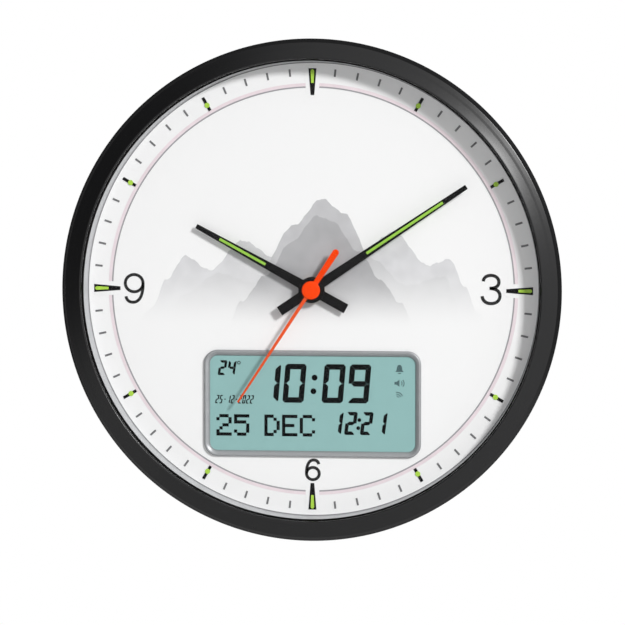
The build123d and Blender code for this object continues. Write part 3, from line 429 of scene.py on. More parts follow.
def placed(name: str, data: bpy.types.ID) -> bpy.types.Object:
    """Puts a mesh, light or camera into the scene.

    Args:
        name: name of the object
        data: the mesh, light or camera

    Returns:
        the object
    """
    thing = bpy.data.objects.new(name, data)
    bpy.context.scene.collection.objects.link(thing)
    return thing


class Sheet:
    """A mesh that grows face by face and then becomes a piece of the clock.

    Args:
        name: name of the piece
    """

    def __init__(self, name: str) -> None:
        """Starts an empty mesh."""
        self.name = name
        self.grid = bmesh.new()

    def _ring(self, outline: Outline, depth: float) -> list[bmesh.types.BMVert]:
        """Adds the corners of an outline at one depth."""
        return [self.grid.verts.new(spot(x, z, depth)) for x, z in outline]

    def _walls(self, rings: list[list[bmesh.types.BMVert]]) -> None:
        """Adds the faces between rings with equal numbers of corners.

        Args:
            rings: the rings, in order
        """
        for lower, upper in zip(rings, rings[1:]):
            for i in range(len(lower)):
                k = (i + 1) % len(lower)
                self.grid.faces.new((lower[i], lower[k], upper[k], upper[i]))

    def face(self, outline: Outline, depth: float) -> None:
        """Adds one flat face that looks out of the wall.

        Args:
            outline: corners, in either direction
            depth: where the face lies
        """
        ends = outline[1:] + outline[:1]
        area = sum(a[0] * b[1] - b[0] * a[1] for a, b in zip(outline, ends))
        self.grid.faces.new(self._ring(outline if area > 0 else outline[::-1], depth))

    def ribbon(self, line: Outline, width: float, depth: float, closed: bool = False) -> None:
        """Adds a flat stroke of one width along a line.

        Args:
            line: points along its middle
            width: width of the stroke
            depth: where it lies
            closed: whether the last point joins the first
        """
        sides = []
        count = len(line)
        for i, (x, z) in enumerate(line):
            before = line[(i - 1) % count] if closed or i > 0 else line[i]
            after = line[(i + 1) % count] if closed or i < count - 1 else line[i]
            along = Vector((after[0] - before[0], after[1] - before[1])).normalized()
            across = (-along[1] * width / 2, along[0] * width / 2)
            edge = [(x + across[0], z + across[1]), (x - across[0], z - across[1])]
            sides.append(self._ring(edge, depth))
        ends = sides[1:] + sides[:1] if closed else sides[1:]
        for (left, right), (next_left, next_right) in zip(sides, ends):
            self.grid.faces.new((right, next_right, next_left, left))

    def ring(self, inner: float, outer: float, depth: float) -> None:
        """Adds a flat ring about the shaft between two radii."""
        self.ribbon(circle((0, 0), (inner + outer) / 2, 240), outer - inner, depth, closed=True)

    def tapered(self, levels: list[Level]) -> None:
        """Adds a closed body through outlines with equal numbers of corners.

        Args:
            levels: outlines with their depths, from the rear to the front
        """
        rings = [self._ring(outline, depth) for outline, depth in levels]
        self._walls(rings)
        self.grid.faces.new(rings[0][::-1])
        self.grid.faces.new(rings[-1])

    def block(self, outline: Outline, rear: float, front: float) -> None:
        """Adds a straight-sided block between two depths."""
        self.tapered([(outline, rear), (outline, front)])

    def hoop(self, levels: list[Level]) -> None:
        """Adds a closed frame whose section runs through nested outlines, in their order."""
        rings = [self._ring(outline, depth) for outline, depth in levels]
        self._walls(rings + rings[:1])

    def lathe(self, profile: Outline, steps: int = 256) -> None:
        """Adds a closed body of revolution about the shaft from its (radius, depth) corners."""
        turns = [2 * math.pi * i / steps for i in range(steps)]
        self.hoop([([(r * math.cos(t), r * math.sin(t)) for t in turns], depth) for r, depth in profile])

    def made(self, finish: Finish, slot: str, body: str = "clock", crease: float = 0.0) -> bpy.types.Object:
        """Turns the mesh into a piece that moves with one body.

        Args:
            finish: finish of the piece
            slot: not used
            body: body that it moves with
            crease: angle, in degrees, over which its edges stay sharp, or 0 for a flat print

        Returns:
            the piece
        """
        if crease:
            bmesh.ops.recalc_face_normals(self.grid, faces=self.grid.faces)
        mesh = bpy.data.meshes.new(self.name)
        self.grid.to_mesh(mesh)
        self.grid.free()
        mesh.materials.append(finish.material())
        piece = placed(self.name, mesh)
        if crease:
            mesh.shade_smooth()
            mesh.set_sharp_from_angle(angle=math.radians(crease))
        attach(piece, body)
        LOG.info("%s: %d faces", self.name, len(mesh.polygons))
        return piece


def dress(node: bpy.types.Object, finish: Finish, edge: float = 0.0) -> None:
    """Gives a node of the frame its finish, smooth flanks and, if wanted, rounded edges.

    Args:
        node: the node
        finish: its finish
        edge: width of the rounding of its edges
    """
    mesh = node.data
    mesh.materials.clear()
    mesh.materials.append(finish.material())
    stored = mesh.attributes.get("custom_normal")
    if stored:
        mesh.attributes.remove(stored)
    weld = node.modifiers.new("weld", "WELD")
    weld.merge_threshold = WELD * MM
    mesh.shade_smooth()
    if edge > 0:
        bevel = node.modifiers.new("edges", "BEVEL")
        bevel.width = edge * MM
        bevel.segments = 3
        bevel.limit_method = "ANGLE"
        bevel.angle_limit = math.radians(ROUNDED)
        bevel.harden_normals = True
    crease = node.modifiers.new("creases", "EDGE_SPLIT")
    crease.split_angle = math.radians(CREASED)
    LOG.info("%s dressed in %s", node.name, finish.name)


# ---------------------------------------------------------------------------- display figures


@dataclass(frozen=True)
class SegmentStyle:
    """How the figures of a display are drawn."""

    width: float  # width of one figure
    height: float  # height of one figure
    stroke: float  # width of a segment
    pitch: float  # distance from one figure to the next
    slant: float  # how far the top leans to the right, as a share of the height
    gap: float  # free space between neighbouring segments
    colon: float = 0.5  # room that a colon takes, as a share of the pitch


class Figures(Sheet):
    """Lit figures of a liquid-crystal display, made of seven bars each or of square dots.

    Args:
        name: name of the piece
        depth: where the figures lie
    """

    CUT = 0.42  # how much of a bar's width its outer corners lose
    COLON = (0.3, 0.65)  # heights of a colon's dots, as shares of the figure's
    COLON_DOT = 0.54  # their radius, as a share of a bar's width
    DOT = 1.06  # side of a square dot, as a share of the distance to the next
    BARS = {
        "0": "abcdef", "1": "bc", "2": "abged", "3": "abgcd", "4": "fgbc", "5": "afgcd",
        "6": "afgedc", "7": "abc", "8": "abcdefg", "9": "abcdfg", "-": "g",
    }
    DOTS = {
        "2": (".###.", "#...#", "....#", "..##.", ".#...", "#....", "#####"),
        "5": ("#####", "#....", "####.", "....#", "....#", "#...#", ".###."),
        "D": ("###..", "#..#.", "#...#", "#...#", "#...#", "#..#.", "###.."),
        "E": ("#####", "#....", "#....", "####.", "#....", "#....", "#####"),
        "C": (".###.", "#...#", "#....", "#....", "#....", "#...#", ".###."),
    }

    def __init__(self, name: str, depth: float) -> None:
        """Starts an empty mesh."""
        super().__init__(name)
        self.depth = depth

    def bars(self, text: str, left: float, bottom: float, style: SegmentStyle) -> None:
        """Writes figures of bars from left to right.

        Args:
            text: digits, colons and dashes
            left: x of the first figure's lower left corner
            bottom: z of the figures' feet
            style: how they are drawn
        """
        for sign in text:
            room = style.colon * style.pitch if sign == ":" else style.pitch
            shapes = self._colon(style) if sign == ":" else [self._bar(k, style) for k in self.BARS[sign]]
            for shape in shapes:
                self.face(moved(shape, left, bottom), self.depth)
            left += room

    def _colon(self, style: SegmentStyle) -> list[Outline]:
        """The two round dots of a colon.

        Args:
            style: how the figures are drawn

        Returns:
            their outlines
        """
        middle = (style.colon * style.pitch - (style.pitch - style.width)) / 2
        radius, heights = self.COLON_DOT * style.stroke, [share * style.height for share in self.COLON]
        return [circle((middle + style.slant * z, z), radius, 24) for z in heights]

    def _bar(self, name: str, style: SegmentStyle) -> Outline:
        """One bar, its ends cut at 45 degrees and the figure's outer corners cut off.

        Args:
            name: letter of the bar
            style: how the figure is drawn

        Returns:
            the bar's corners
        """
        w, h, t, g = style.width, style.height, style.stroke, style.gap
        mid, cut, side = h / 2, self.CUT * t, g / 2
        bevel, notch = 0.5 * cut, mid + g
        top = [
            (cut + side, h), (w - cut - side, h), (w - bevel - side, h - bevel), (w - t - side, h - t),
            (t + side, h - t), (bevel + side, h - bevel),
        ]
        right = [
            (w, h - cut - side), (w, notch), (w - t / 2, notch), (w - t, notch + t / 2),
            (w - t, h - t - side), (w - bevel, h - bevel - side),
        ]
        middle = [
            (t / 2 + g, mid), (t + g, mid + t / 2), (w - t - g, mid + t / 2),
            (w - t / 2 - g, mid), (w - t - g, mid - t / 2), (t + g, mid - t / 2),
        ]
        bar = {"a": top, "d": top, "g": middle}.get(name, right)
        if name in "fe":
            bar = [(w - x, z) for x, z in bar]
        if name in "dce":
            bar = [(x, h - z) for x, z in bar]
        return [(x + style.slant * z, z) for x, z in bar]

    def dots(self, text: str, left: float, bottom: float, dot: float, pitch: float) -> None:
        """Writes figures of dots, five wide and seven high, from left to right.

        Args:
            text: the figures
            left: x of the first figure's left side
            bottom: z of the figures' feet
            dot: distance from one dot to the next
            pitch: distance from one figure to the next
        """
        side = self.DOT * dot
        square = [(0, 0), (side, 0), (side, side), (0, side)]
        for i, sign in enumerate(text):
            for row, line in enumerate(self.DOTS[sign]):
                for column, shown in enumerate(line):
                    if shown == "#":
                        x, z = left + i * pitch + column * dot, bottom + (6 - row) * dot
                        self.face(moved(square, x, z), self.depth)


# ---------------------------------------------------------------------------- sub-assemblies


@dataclass
class Rim:
    """The black front bezel: a rolled lip, a sloping face with a faint dip, and a falling flank."""

    opening: float = 145.8  # radius of the clear opening
    outer: float = 159.9  # outer radius
    seat: float = 154.9  # radius of the step that sits round the case
    rear: float = 39.5  # depth of its rear face
    under: float = 41.5  # depth of its underside, on the lens
    crest: float = 45.8  # depth of its highest point
    catches: int = 6  # number of snap catches
    catch_width: float = 12.0  # width of a catch
    catch_end: float = 33.5  # depth of the catches' ends
    hook: float = 2.0  # height of their hooks
    lip_foot: float = 0.5  # height of the matt lip at the opening
    lip_height: float = 2.4  # its height at the rim's foot

    # corners of the front, each by how far it lies outside the opening and below the crest
    FRONT = (
        (1.05, 1.6), (1.15, 0.8), (1.4, 0.25), (1.75, 0.02), (2.15, 0.0), (2.5, 0.12), (3.0, 0.32),
        (7.4, 2.08), (7.8, 2.22), (8.9, 2.57), (9.3, 2.71), (11.3, 3.47), (11.55, 3.56), (11.68, 3.64),
        (11.85, 3.8), (12.25, 4.25), (12.9, 4.95), (13.5, 5.4),
    )

    def build(self) -> None:
        """Builds the rim with its catches, in place of the plain one, and its matt lip."""
        foot = self.opening + self.FRONT[0][0]
        profile = [(foot, self.under)]
        profile += [(self.opening + out, self.crest - drop) for out, drop in self.FRONT]
        profile += [(self.outer, self.rear + 0.3), (self.outer - 0.2, self.rear)]
        sheet = Sheet("rim")
        sheet.lathe(profile + [(self.seat, self.rear), (self.seat, self.under)])
        for i in range(self.catches):
            self._catch(sheet, -360 * i / self.catches)
        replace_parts(sheet.made(RIM_BLACK, "black_gloss", crease=40), "front_bezel")
        lip = Sheet("rim_lip")
        edge, top = foot + 0.1, self.under + self.lip_height
        section = [(self.opening, self.under), (self.opening, self.under + self.lip_foot)]
        lip.lathe(section + [(edge - 0.25, top), (edge, top), (edge, self.under)])
        lip.made(LIP_BLACK, "black_satin", crease=40)

    def _catch(self, sheet: Sheet, dial_angle: float) -> None:
        """Adds a snap catch: a tongue and the hook at its end.

        Args:
            sheet: mesh that receives it
            dial_angle: where it stands
        """
        tongue = (self.seat + 0.3, self.seat + 2.8, self.rear + 0.2)
        hook = (self.seat - 1.3, self.seat + 0.4, self.catch_end + self.hook)
        half = self.catch_width / 2
        for inner, outer, front in (tongue, hook):
            corners = [(inner, -half), (outer, -half), (outer, half), (inner, half)]
            sheet.block(turned(corners, dial_angle), self.catch_end, front)


@dataclass
class InnerRing:
    """The silver ring between lens and dial."""

    foot: float = 144.9  # radius where it meets the dial
    outer: float = 146.9  # outer radius
    low: float = 29.5  # depth of the dial's face
    high: float = 39.5  # depth of the lens's rear face
    foot_shade: float = 0.6  # width of the painted contact shade line at its foot

    # corners of the inner face, by how far each lies outside the foot and over the dial
    SLOPE = ((0.0, 0.0), (0.05, 0.5), (0.9, 4.3), (1.7, 7.2))

    def build(self) -> None:
        """Builds the ring, in place of the plain one, and a painted line of contact shade at its foot."""
        sheet = Sheet("silver_ring")
        profile = [(self.foot + out, self.low + rise) for out, rise in self.SLOPE]
        profile += [(self.outer - 0.3, self.high - 0.25), (self.outer, self.high), (self.outer, self.low)]
        sheet.lathe(profile)
        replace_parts(sheet.made(RING_SILVER, "silver_plastic", crease=50), "inner_ring")
        # painted contact shade: a thin grey ring on the dial along the ring's foot
        foot_shade = Sheet("ring_foot_painted_shade_line")
        foot_shade.ring(self.foot - self.foot_shade, self.foot + 0.02, self.low + 0.06)
        foot_shade.made(RING_FOOT_SHADE, "silver_plastic")


@dataclass(frozen=True)
class Hills:
    """A range of hills that is printed on the dial."""

    name: str  # name of the print
    colour: Colour  # colour of its ink
    full: float  # z above which the ink has its full colour
    crest: tuple[Point, ...]  # points of the skyline, from left to right

    def skyline(self, steps: int = 16) -> Outline:
        """The skyline, rounded and with small bumps of its own.

        Args:
            steps: chords between two points of the crest

        Returns:
            a finer line
        """
        line = []
        for (xa, za), (xb, zb) in zip(self.crest, self.crest[1:]):
            for k in range(steps):
                t = k / steps
                x = xa + (xb - xa) * t
                bump = 0.5 * math.sin(0.9 * x) + 0.3 * math.sin(2.3 * x + 1.0)
                line.append((x, za + (zb - za) * t * t * (3 - 2 * t) + bump))
        return line + [self.crest[-1]]


LANDSCAPE = (
    Hills(
        "far_hills", (214, 214, 216), 22.0,
        ((-116, -26), (-104, -13), (-94, 6), (-82, 21), (-66, 12), (-45, 31), (-22, 19), (4, 34), (27, 20),
         (52, 37), (74, 16), (88, 20), (97, 3), (106, -14), (116, -26)),
    ),
    Hills(
        "middle_hills", (196, 196, 198), 30.0,
        ((-96, -26), (-84, -4), (-60, 10), (-38, 4), (-12, 41), (6, 58), (20, 49), (38, 20), (60, 3), (84, 9),
         (99, -25)),
    ),
    Hills(
        "near_hill", (176, 176, 178), 12.0,
        ((-56, -26), (-46, -8), (-30, 9), (-14, 30), (3, 47), (12, 44), (30, 24), (44, 6), (56, -8),
         (68, -26)),
    ),
)


@dataclass
class Dial:
    """What is printed on the white card: minute ticks, a ring, plain numerals and a landscape."""

    face: float = 29.5  # depth of the card's face
    ink: float = 0.03  # height of each layer of ink
    edge: float = 144.95  # outer edge of the white print
    edge_width: float = 3.15  # width of the white print at the edge
    ring_radius: float = 129.0  # middle of the grey ring
    ring_width: float = 0.9  # width of the grey ring
    band_width: float = 2.5  # width of the grey ring and the pink band outside it, from the ring's middle
    pad_place: float = 132.4  # middle of the white pads that break both
    pad_width: float = 8.8  # width of a pad
    pad_height: float = 20.5  # height of a pad
    tick_inner: float = 136.2  # inner ends of the ticks
    tick_outer: float = 140.9  # outer ends of the ticks
    tick_width: float = 1.25  # width of the ticks
    land_foot: float = -27.0  # z where the landscape ends
    three_size: Point = (19.0, 19.4)  # scale of the 3 along x and z
    three_place: Point = (114.2, 0.9)  # its middle
    three_stroke: float = 2.05  # width of its line
    nine_stroke: float = 1.9  # width of the lines of 6 and 9

    # scale and middle of the 9, and of the 6, which is the same figure upside down
    NINES = ((19.3, -115.0, -0.1), (-13.7, 0.3, -115.4))
    # curves of the figures about their middles
    THREE_TOP = [
        (-0.262, 0.265), (-0.25, 0.39), (-0.15, 0.461), (0.0, 0.461), (0.15, 0.461), (0.262, 0.37),
        (0.262, 0.245), (0.262, 0.11), (0.15, 0.035), (-0.05, 0.035),
    ]
    THREE_BOTTOM = [
        (-0.05, 0.035), (0.17, 0.035), (0.298, -0.06), (0.298, -0.21), (0.298, -0.37), (0.17, -0.461),
        (0.0, -0.461), (-0.17, -0.461), (-0.285, -0.37), (-0.3, -0.22),
    ]
    NINE_TAIL = [
        (0.298, 0.19), (0.31, -0.2), (0.19, -0.461), (-0.04, -0.461), (-0.17, -0.461), (-0.255, -0.39),
        (-0.275, -0.265),
    ]
    NINE_BOWL = [(0.298 * x, 0.175 + 0.286 * z) for x, z in circle((0, 0), 1.0, 48)]

    def build(self) -> None:
        """Prints everything on the card."""
        for layer, hills in enumerate(LANDSCAPE):
            self._hills(hills, self._layer(0.2 + 0.5 * layer))
        self._rings()
        self._ticks()
        self._numerals()

    def _layer(self, number: float) -> float:
        """Depth of a layer of ink."""
        return self.face + number * self.ink

    def _hills(self, hills: Hills, depth: float) -> None:
        """Prints hills that fade into the card.

        Args:
            hills: the hills
            depth: where they lie
        """
        sheet = Sheet(hills.name)
        line, foot = hills.skyline(), self.land_foot
        for (xa, za), (xb, zb) in zip(line, line[1:]):
            sheet.face([(xa, foot), (xb, foot), (xb, zb), (xa, za)], depth)
        ink = FadingFinish(
            hills.name + "_ink", hills.colour, 0.55, specular=0.3, variation=0.05, fade_from=hills.full
        )
        sheet.made(ink, "white_card")

    def _rings(self) -> None:
        """Prints the pink band, the grey ring inside it, and the white edge and pads."""
        middle = self.ring_radius
        pink = Sheet("dial_band")
        pink.ring(middle + 0.4, middle + self.band_width, self._layer(2))
        pink.made(INK_PINK, "white_card")
        grey = Sheet("dial_ring")
        grey.ring(middle - self.ring_width / 2, middle + self.ring_width / 2, self._layer(3))
        grey.made(INK_GREY, "white_card")
        pads = Sheet("dial_pads")
        pads.ring(self.edge - self.edge_width, self.edge, self._layer(0.5))
        pad = moved(rounded_box(self.pad_width, self.pad_height, 4.0), 0, self.pad_place)
        for quarter in range(4):
            pads.face(turned(pad, 90 * quarter), self._layer(4))
        pads.made(CARD_WHITE, "white_card")

    def _ticks(self) -> None:
        """Prints a tick at each minute that has no marker."""
        ticks = Sheet("minute_ticks")
        for minute in range(60):
            if minute % 5:
                line = turned([(0, self.tick_inner), (0, self.tick_outer)], 6 * minute)
                ticks.ribbon(line, self.tick_width, self._layer(5))
        ticks.made(INK_DARK, "black_satin")

    def _numerals(self) -> None:
        """Prints thin figures 3, 9 and 6."""
        sheet = Sheet("numerals")
        for curve in (self.THREE_TOP, self.THREE_BOTTOM):
            line = [(self.three_size[0] * x, self.three_size[1] * z) for x, z in bezier(curve)]
            sheet.ribbon(moved(line, *self.three_place), self.three_stroke, self._layer(5))
        for size, x0, z0 in self.NINES:
            for line, closed in ((bezier(self.NINE_TAIL), False), (self.NINE_BOWL, True)):
                place = [(x0 + size * x, z0 + size * z) for x, z in line]
                sheet.ribbon(place, self.nine_stroke, self._layer(5), closed)
        sheet.made(INK_BLACK, "black_satin")


@dataclass
class Markers:
    """The twelve hour markers with their luminous inlays."""

    front: float = 29.8  # depth of the markers' front faces
    inlay: float = 0.12  # thickness of the luminous paint
    outer: float = 140.3  # radius where the quarter inlays end
    inner: float = 131.6  # radius where they start
    inner_width: float = 1.6  # their width at the start
    outer_width: float = 2.3  # their width at the round end
    dot_place: float = 135.3  # radius where the other hours have their dots
    dot: float = 1.65  # radius of a dot

    def build(self, nodes: Nodes) -> None:
        """Dresses the markers and adds the inlays.

        Args:
            nodes: nodes of the frame
        """
        dress(nodes["hour_markers"], MARKER_BLACK, 0.06)
        start, end = self.inner_width / 2, self.outer_width / 2
        wedge = [(-start, self.inner), (start, self.inner), (end, self.outer - 1.1)]
        wedge += arc((0, self.outer - 1.2), end, 0, 180, 10) + [(-end, self.outer - 1.1)]
        dot = circle((0, self.dot_place), self.dot, 24)
        sheet = Sheet("marker_inlays")
        for hour in range(12):
            shape = dot if hour % 3 else wedge
            sheet.block(turned(shape, 30 * hour), self.front - 0.1, self.front + self.inlay)
        sheet.made(MARKER_LUME, "lume_green", crease=50)


@dataclass
class Pointer:
    """A black stick hand with a hub disc, a square tail and a luminous stripe."""

    name: str  # name of its node
    body: str  # body that it moves with
    angle: float  # dial angle at rest
    depth: float  # depth of its rear face
    length: float  # reach of its tip
    tail: float  # reach of its tail
    bore: float  # radius of the hole for its tube
    stripe: tuple[float, float]  # radii where the stripe starts and ends
    root: float = 6.2  # width that it would have at the shaft
    tip: float = 3.0  # width at its tip
    tail_width: float = 6.3  # width of its tail
    hub: float = 8.3  # radius of its hub disc
    sheet: float = 0.8  # thickness
    stripe_width: float = 1.7  # width of the stripe

    def build(self) -> None:
        """Builds the hand and its stripe, in place of the plain ones."""
        front, start = self.depth + self.sheet, self.bore + 1.5
        root = (self.root + (self.tip - self.root) * start / self.length) / 2
        tip, tail = self.tip / 2, self.tail_width / 2
        hand = Sheet(self.name + "_plate")
        for outline in (
            [(-root, start), (root, start), (tip, self.length), (-tip, self.length)],
            [(-tail, -start), (-tail, -self.tail), (tail, -self.tail), (tail, -start)],
        ):
            hand.tapered(self._broken(outline, front))
        hub = [(self.hub, self.depth), (self.hub, front - 0.1), (self.hub - 0.1, front + 0.02)]
        hand.lathe([(self.bore, self.depth)] + hub + [(self.bore, front + 0.02)], 96)
        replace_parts(hand.made(HAND_BLACK, "black_satin", self.body, crease=40), self.name)
        (low, high), side = self.stripe, self.stripe_width / 2
        box = turned([(-side, low), (side, low), (side, high), (-side, high)], self.angle)
        stripe = Sheet(self.name + "_stripe")
        stripe.block(box, self.depth - 0.02, front + 0.03)
        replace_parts(stripe.made(LUME_GREEN, "lume_green", self.body, 35), self.name + "_lume")

    def _broken(self, outline: Outline, front: float, edge: float = 0.12) -> list[Level]:
        """Levels of a plate whose front edges are slightly broken.

        Args:
            outline: its four corners, drawn upright
            front: depth of its front face
            edge: width of the broken edge

        Returns:
            outlines with their depths
        """
        x0, z0 = (sum(values) / 4 for values in zip(*outline))
        inset = [(x - math.copysign(edge, x - x0), z - math.copysign(edge, z - z0)) for x, z in outline]
        corners = turned(outline, self.angle)
        return [(corners, self.depth), (corners, front - edge), (turned(inset, self.angle), front)]


@dataclass
class Hands:
    """Hour, minute and second hands."""

    depth: float = 37.4  # depth of the second hand's rear face
    sheet: float = 0.5  # its thickness
    angle: float = 213.2  # its dial angle at rest
    reach: float = 86.0  # reach of its needle
    tail: float = -28.8  # middle of its round tail end
    tail_radius: float = 2.1  # radius of that end
    hub: float = 5.8  # radius of its hub
    tail_root: float = 3.2  # width of the tail at the shaft
    needle_root: float = 2.3  # width of the needle at its foot
    needle_tip: float = 1.3  # width of the needle near its end
    needle_foot: float = 4.5  # radius where the needle starts

    # the domed hub, as shares of its radius and heights over the rear face
    DOME = ((1.0, -0.15), (1.0, 0.9), (0.97, 1.1), (0.9, 1.22), (0.6, 1.3), (0.15, 1.32))

    def build(self) -> None:
        """Builds the two black hands and the orange one."""
        stripe = (33.7, 67.4)
        Pointer("hour_hand", "hour_works", 298.5, 33.0, 84.4, 25.0, 2.5, stripe, root=6.4, tip=2.9).build()
        Pointer("minute_hand", "minute_works", 56.2, 35.2, 119.0, 24.5, 1.5, (42.5, 101.0)).build()
        self._needle()
        self._counterweight()

    def _needle(self) -> None:
        """Builds the thin part of the second hand."""
        tip, root = self.needle_tip / 2, self.needle_root / 2
        right = [(0.4, self.reach), (tip, self.reach - 0.4), (root, self.needle_foot)]
        needle = Sheet("second_needle")
        self._plate(needle, [(-x, z) for x, z in right[::-1]] + right)
        needle.made(NEEDLE_RED, "orange_red", "second_works", crease=40)

    def _counterweight(self) -> None:
        """Builds the broad tail and the domed hub, which take the place of the plain second hand."""
        end, side = arc((0, self.tail), self.tail_radius, 0, -180, 12), self.tail_root / 2
        sheet = Sheet("second_pointer")
        self._plate(sheet, [(side, 0.0)] + end + [(-side, 0.0)])
        sheet.tapered(
            [(circle((0, 0), self.hub * share, 72), self.depth + height) for share, height in self.DOME]
        )
        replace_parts(sheet.made(HAND_ORANGE, "orange_red", "second_works", crease=40), "second_hand")

    def _plate(self, sheet: Sheet, outline: Outline) -> None:
        """Adds a flat plate with slightly broken edges.

        Args:
            sheet: mesh that receives it
            outline: its corners, drawn upright
        """
        corners = turned(outline, self.angle)
        x0, z0 = (sum(values) / len(corners) for values in zip(*corners))
        inset = [(x + 0.02 * (x0 - x) / 3, z + 0.02 * (z0 - z) / 3) for x, z in corners]
        front = self.depth + self.sheet
        sheet.tapered([(corners, self.depth), (corners, front - 0.08), (inset, front)])


@dataclass
class Display:
    """The liquid-crystal display: silver frame, tinted glass and lit figures."""

    drop: float = 73.0  # its centre below the shaft
    width: float = 132.0  # width of the window
    height: float = 60.7  # height of the window
    corner: float = 5.0  # corner radius of the window
    face: float = 29.5  # depth of the dial's face
    ink: float = 29.43  # depth of the figures, just in front of the glass
    degree_place: Point = (-47.4, -47.2)  # middle of the degree sign
    degree_radius: float = 0.9  # its radius
    degree_stroke: float = 0.5  # width of its line
    wave_stroke: float = 0.6  # width of the lines of the symbols

    # section of the frame, each corner by how far it lies outside the window and over the dial
    FRAME = (
        (3.75, 0.0), (3.75, 1.1), (3.55, 1.6), (3.15, 1.92), (2.75, 2.0), (2.25, 1.93), (1.5, 1.45),
        (0.9, 1.1), (0.6, 0.85), (0.3, 0.35), (0.0, 0.1), (0.0, 0.0),
    )
    # text, left end, feet and style of each row of figures made of bars
    BAR_ROWS = (
        ("10:09", -35.8, -72.5, SegmentStyle(13.7, 24.9, 3.5, 16.35, 0.085, 0.06, 0.54)),
        ("12:21", 11.2, -92.8, SegmentStyle(7.1, 14.8, 2.3, 9.0, 0.13, 0.03, 0.13)),
        ("24", -61.2, -55.3, SegmentStyle(5.0, 9.6, 1.6, 6.0, 0.15, 0.05)),
        ("25-12-2022", -62.9, -73.4, SegmentStyle(2.0, 5.4, 0.75, 2.48, 0.2, 0.03)),
    )
    # text, left end, feet, dot and pitch of the rows made of dots
    DOT_ROWS = (("25", -62.0, -94.1, 1.96, 11.4), ("DEC", -31.0, -94.1, 1.96, 11.4))
    BELL = [
        (-2.8, -2.0), (2.8, -2.0), (1.9, -0.9), (1.6, 1.3), (0.7, 2.5), (-0.7, 2.5), (-1.6, 1.3),
        (-1.9, -0.9),
    ]
    CLAPPER = rounded_box(1.8, 0.7, 0.3, 4)
    SOUNDER = [(-2.9, -0.9), (-1.5, -0.9), (0.3, -2.3), (0.3, 2.3), (-1.5, 0.9), (-2.9, 0.9)]
    # middles of the symbols
    SYMBOLS = ((BELL, 55.8, -50.2), (CLAPPER, 55.8, -53.1), (SOUNDER, 55.5, -59.4))
    # middle, radii and first and last angle of each set of waves
    WAVES = (((55.8, -59.4), (1.7, 3.0), -45, 45), ((54.2, -69.0), (1.2, 2.5, 3.8), 20, 100))

    def build(self, nodes: Nodes) -> None:
        """Dresses the glass and builds the frame and the figures.

        Args:
            nodes: nodes of the frame
        """
        dress(nodes["display_glass"], FILM)
        self._frame()
        self._figures()
        self._symbols()

    def _outline(self, reach: float) -> Outline:
        """The window's outline, grown by a reach."""
        box = rounded_box(self.width + 2 * reach, self.height + 2 * reach, self.corner + reach, 12)
        return moved(box, 0, -self.drop)

    def _frame(self) -> None:
        """Builds the frame with a rolled crest, in place of the plain one."""
        sheet = Sheet("display_surround")
        sheet.hoop([(self._outline(reach), self.face + rise) for reach, rise in self.FRAME])
        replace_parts(sheet.made(FRAME_SILVER, "silver_plastic", crease=60), "display_frame")

    def _figures(self) -> None:
        """Prints the figures that are lit."""
        sheet = Figures("display_figures", self.ink)
        for row in self.BAR_ROWS:
            sheet.bars(*row)
        degree = circle(self.degree_place, self.degree_radius, 24)
        sheet.ribbon(degree, self.degree_stroke, self.ink, closed=True)
        for row in self.DOT_ROWS:
            sheet.dots(*row)
        sheet.made(SEGMENT, "black_satin")

    def _symbols(self) -> None:
        """Prints three small plain symbols at the right: a bell, a sounder and waves."""
        sheet = Sheet("display_symbols")
        for shape, x, z in self.SYMBOLS:
            sheet.face(moved(shape, x, z), self.ink)
        for centre, radii, start, end in self.WAVES:
            for radius in radii:
                sheet.ribbon(arc(centre, radius, start, end, 8), self.wave_stroke, self.ink)
        sheet.made(SEGMENT_FAINT, "black_satin")


@dataclass
class Back:
    """The rear case with its door, keys, switch and hanger."""

    # node, finish and rounding of the edges
    FINISHES = (
        ("rear_case", CASE_BLACK, 0.25), ("battery_door", CASE_BLACK, 0.2), ("set_key", KEY_GREY, 0.5),
        ("mode_key", KEY_GREY, 0.5), ("up_key", KEY_GREY, 0.5), ("down_key", KEY_GREY, 0.5),
        ("alarm_key", KEY_GREY, 0.5), ("switch_slider", KEY_GREY, 0.4), ("switch_body", STEEL, 0.2),
        ("hanger_plate", STEEL, 0.15),
    )

    def build(self, nodes: Nodes) -> None:
        """Dresses everything at the back."""
        for name, finish, edge in self.FINISHES:
            dress(nodes[name], finish, edge)


@dataclass
class Works:
    """The movement, the display's circuit, the speaker and the cells, all inside the case."""

    EDGES = {"movement_case": 0.3, "set_knob": 0.4}
    FINISHES = {
        CASE_BLACK: ("movement_case", "movement_front_plate", "speaker", "chips"),
        ACETAL: (
            "middle_plate", "coil_bobbin", "rotor", "step_wheel", "second_wheel", "third_wheel",
            "centre_wheel", "minute_arbor", "set_wheel", "hour_wheel", "set_knob", "light_guide",
            "display_tray",
        ),
        STEEL: (
            "stator", "coil_core", "crystal", "movement_contacts", "speaker_magnet", "display_contacts",
        ),
        COPPER: ("coil_winding",),
        BRASS: ("fixing_nut",),
        RUBBER: ("rubber_washer", "rubber_strips"),
        SOLDER_GREEN: ("movement_board", "main_board"),
        CELL_GREY: ("movement_cell", "display_cells"),
    }

    def build(self, nodes: Nodes) -> None:
        """Gives each piece its finish.

        Args:
            nodes: nodes of the frame
        """
        for finish, names in self.FINISHES.items():
            for name in names:
                dress(nodes[name], finish, self.EDGES.get(name, 0.0))


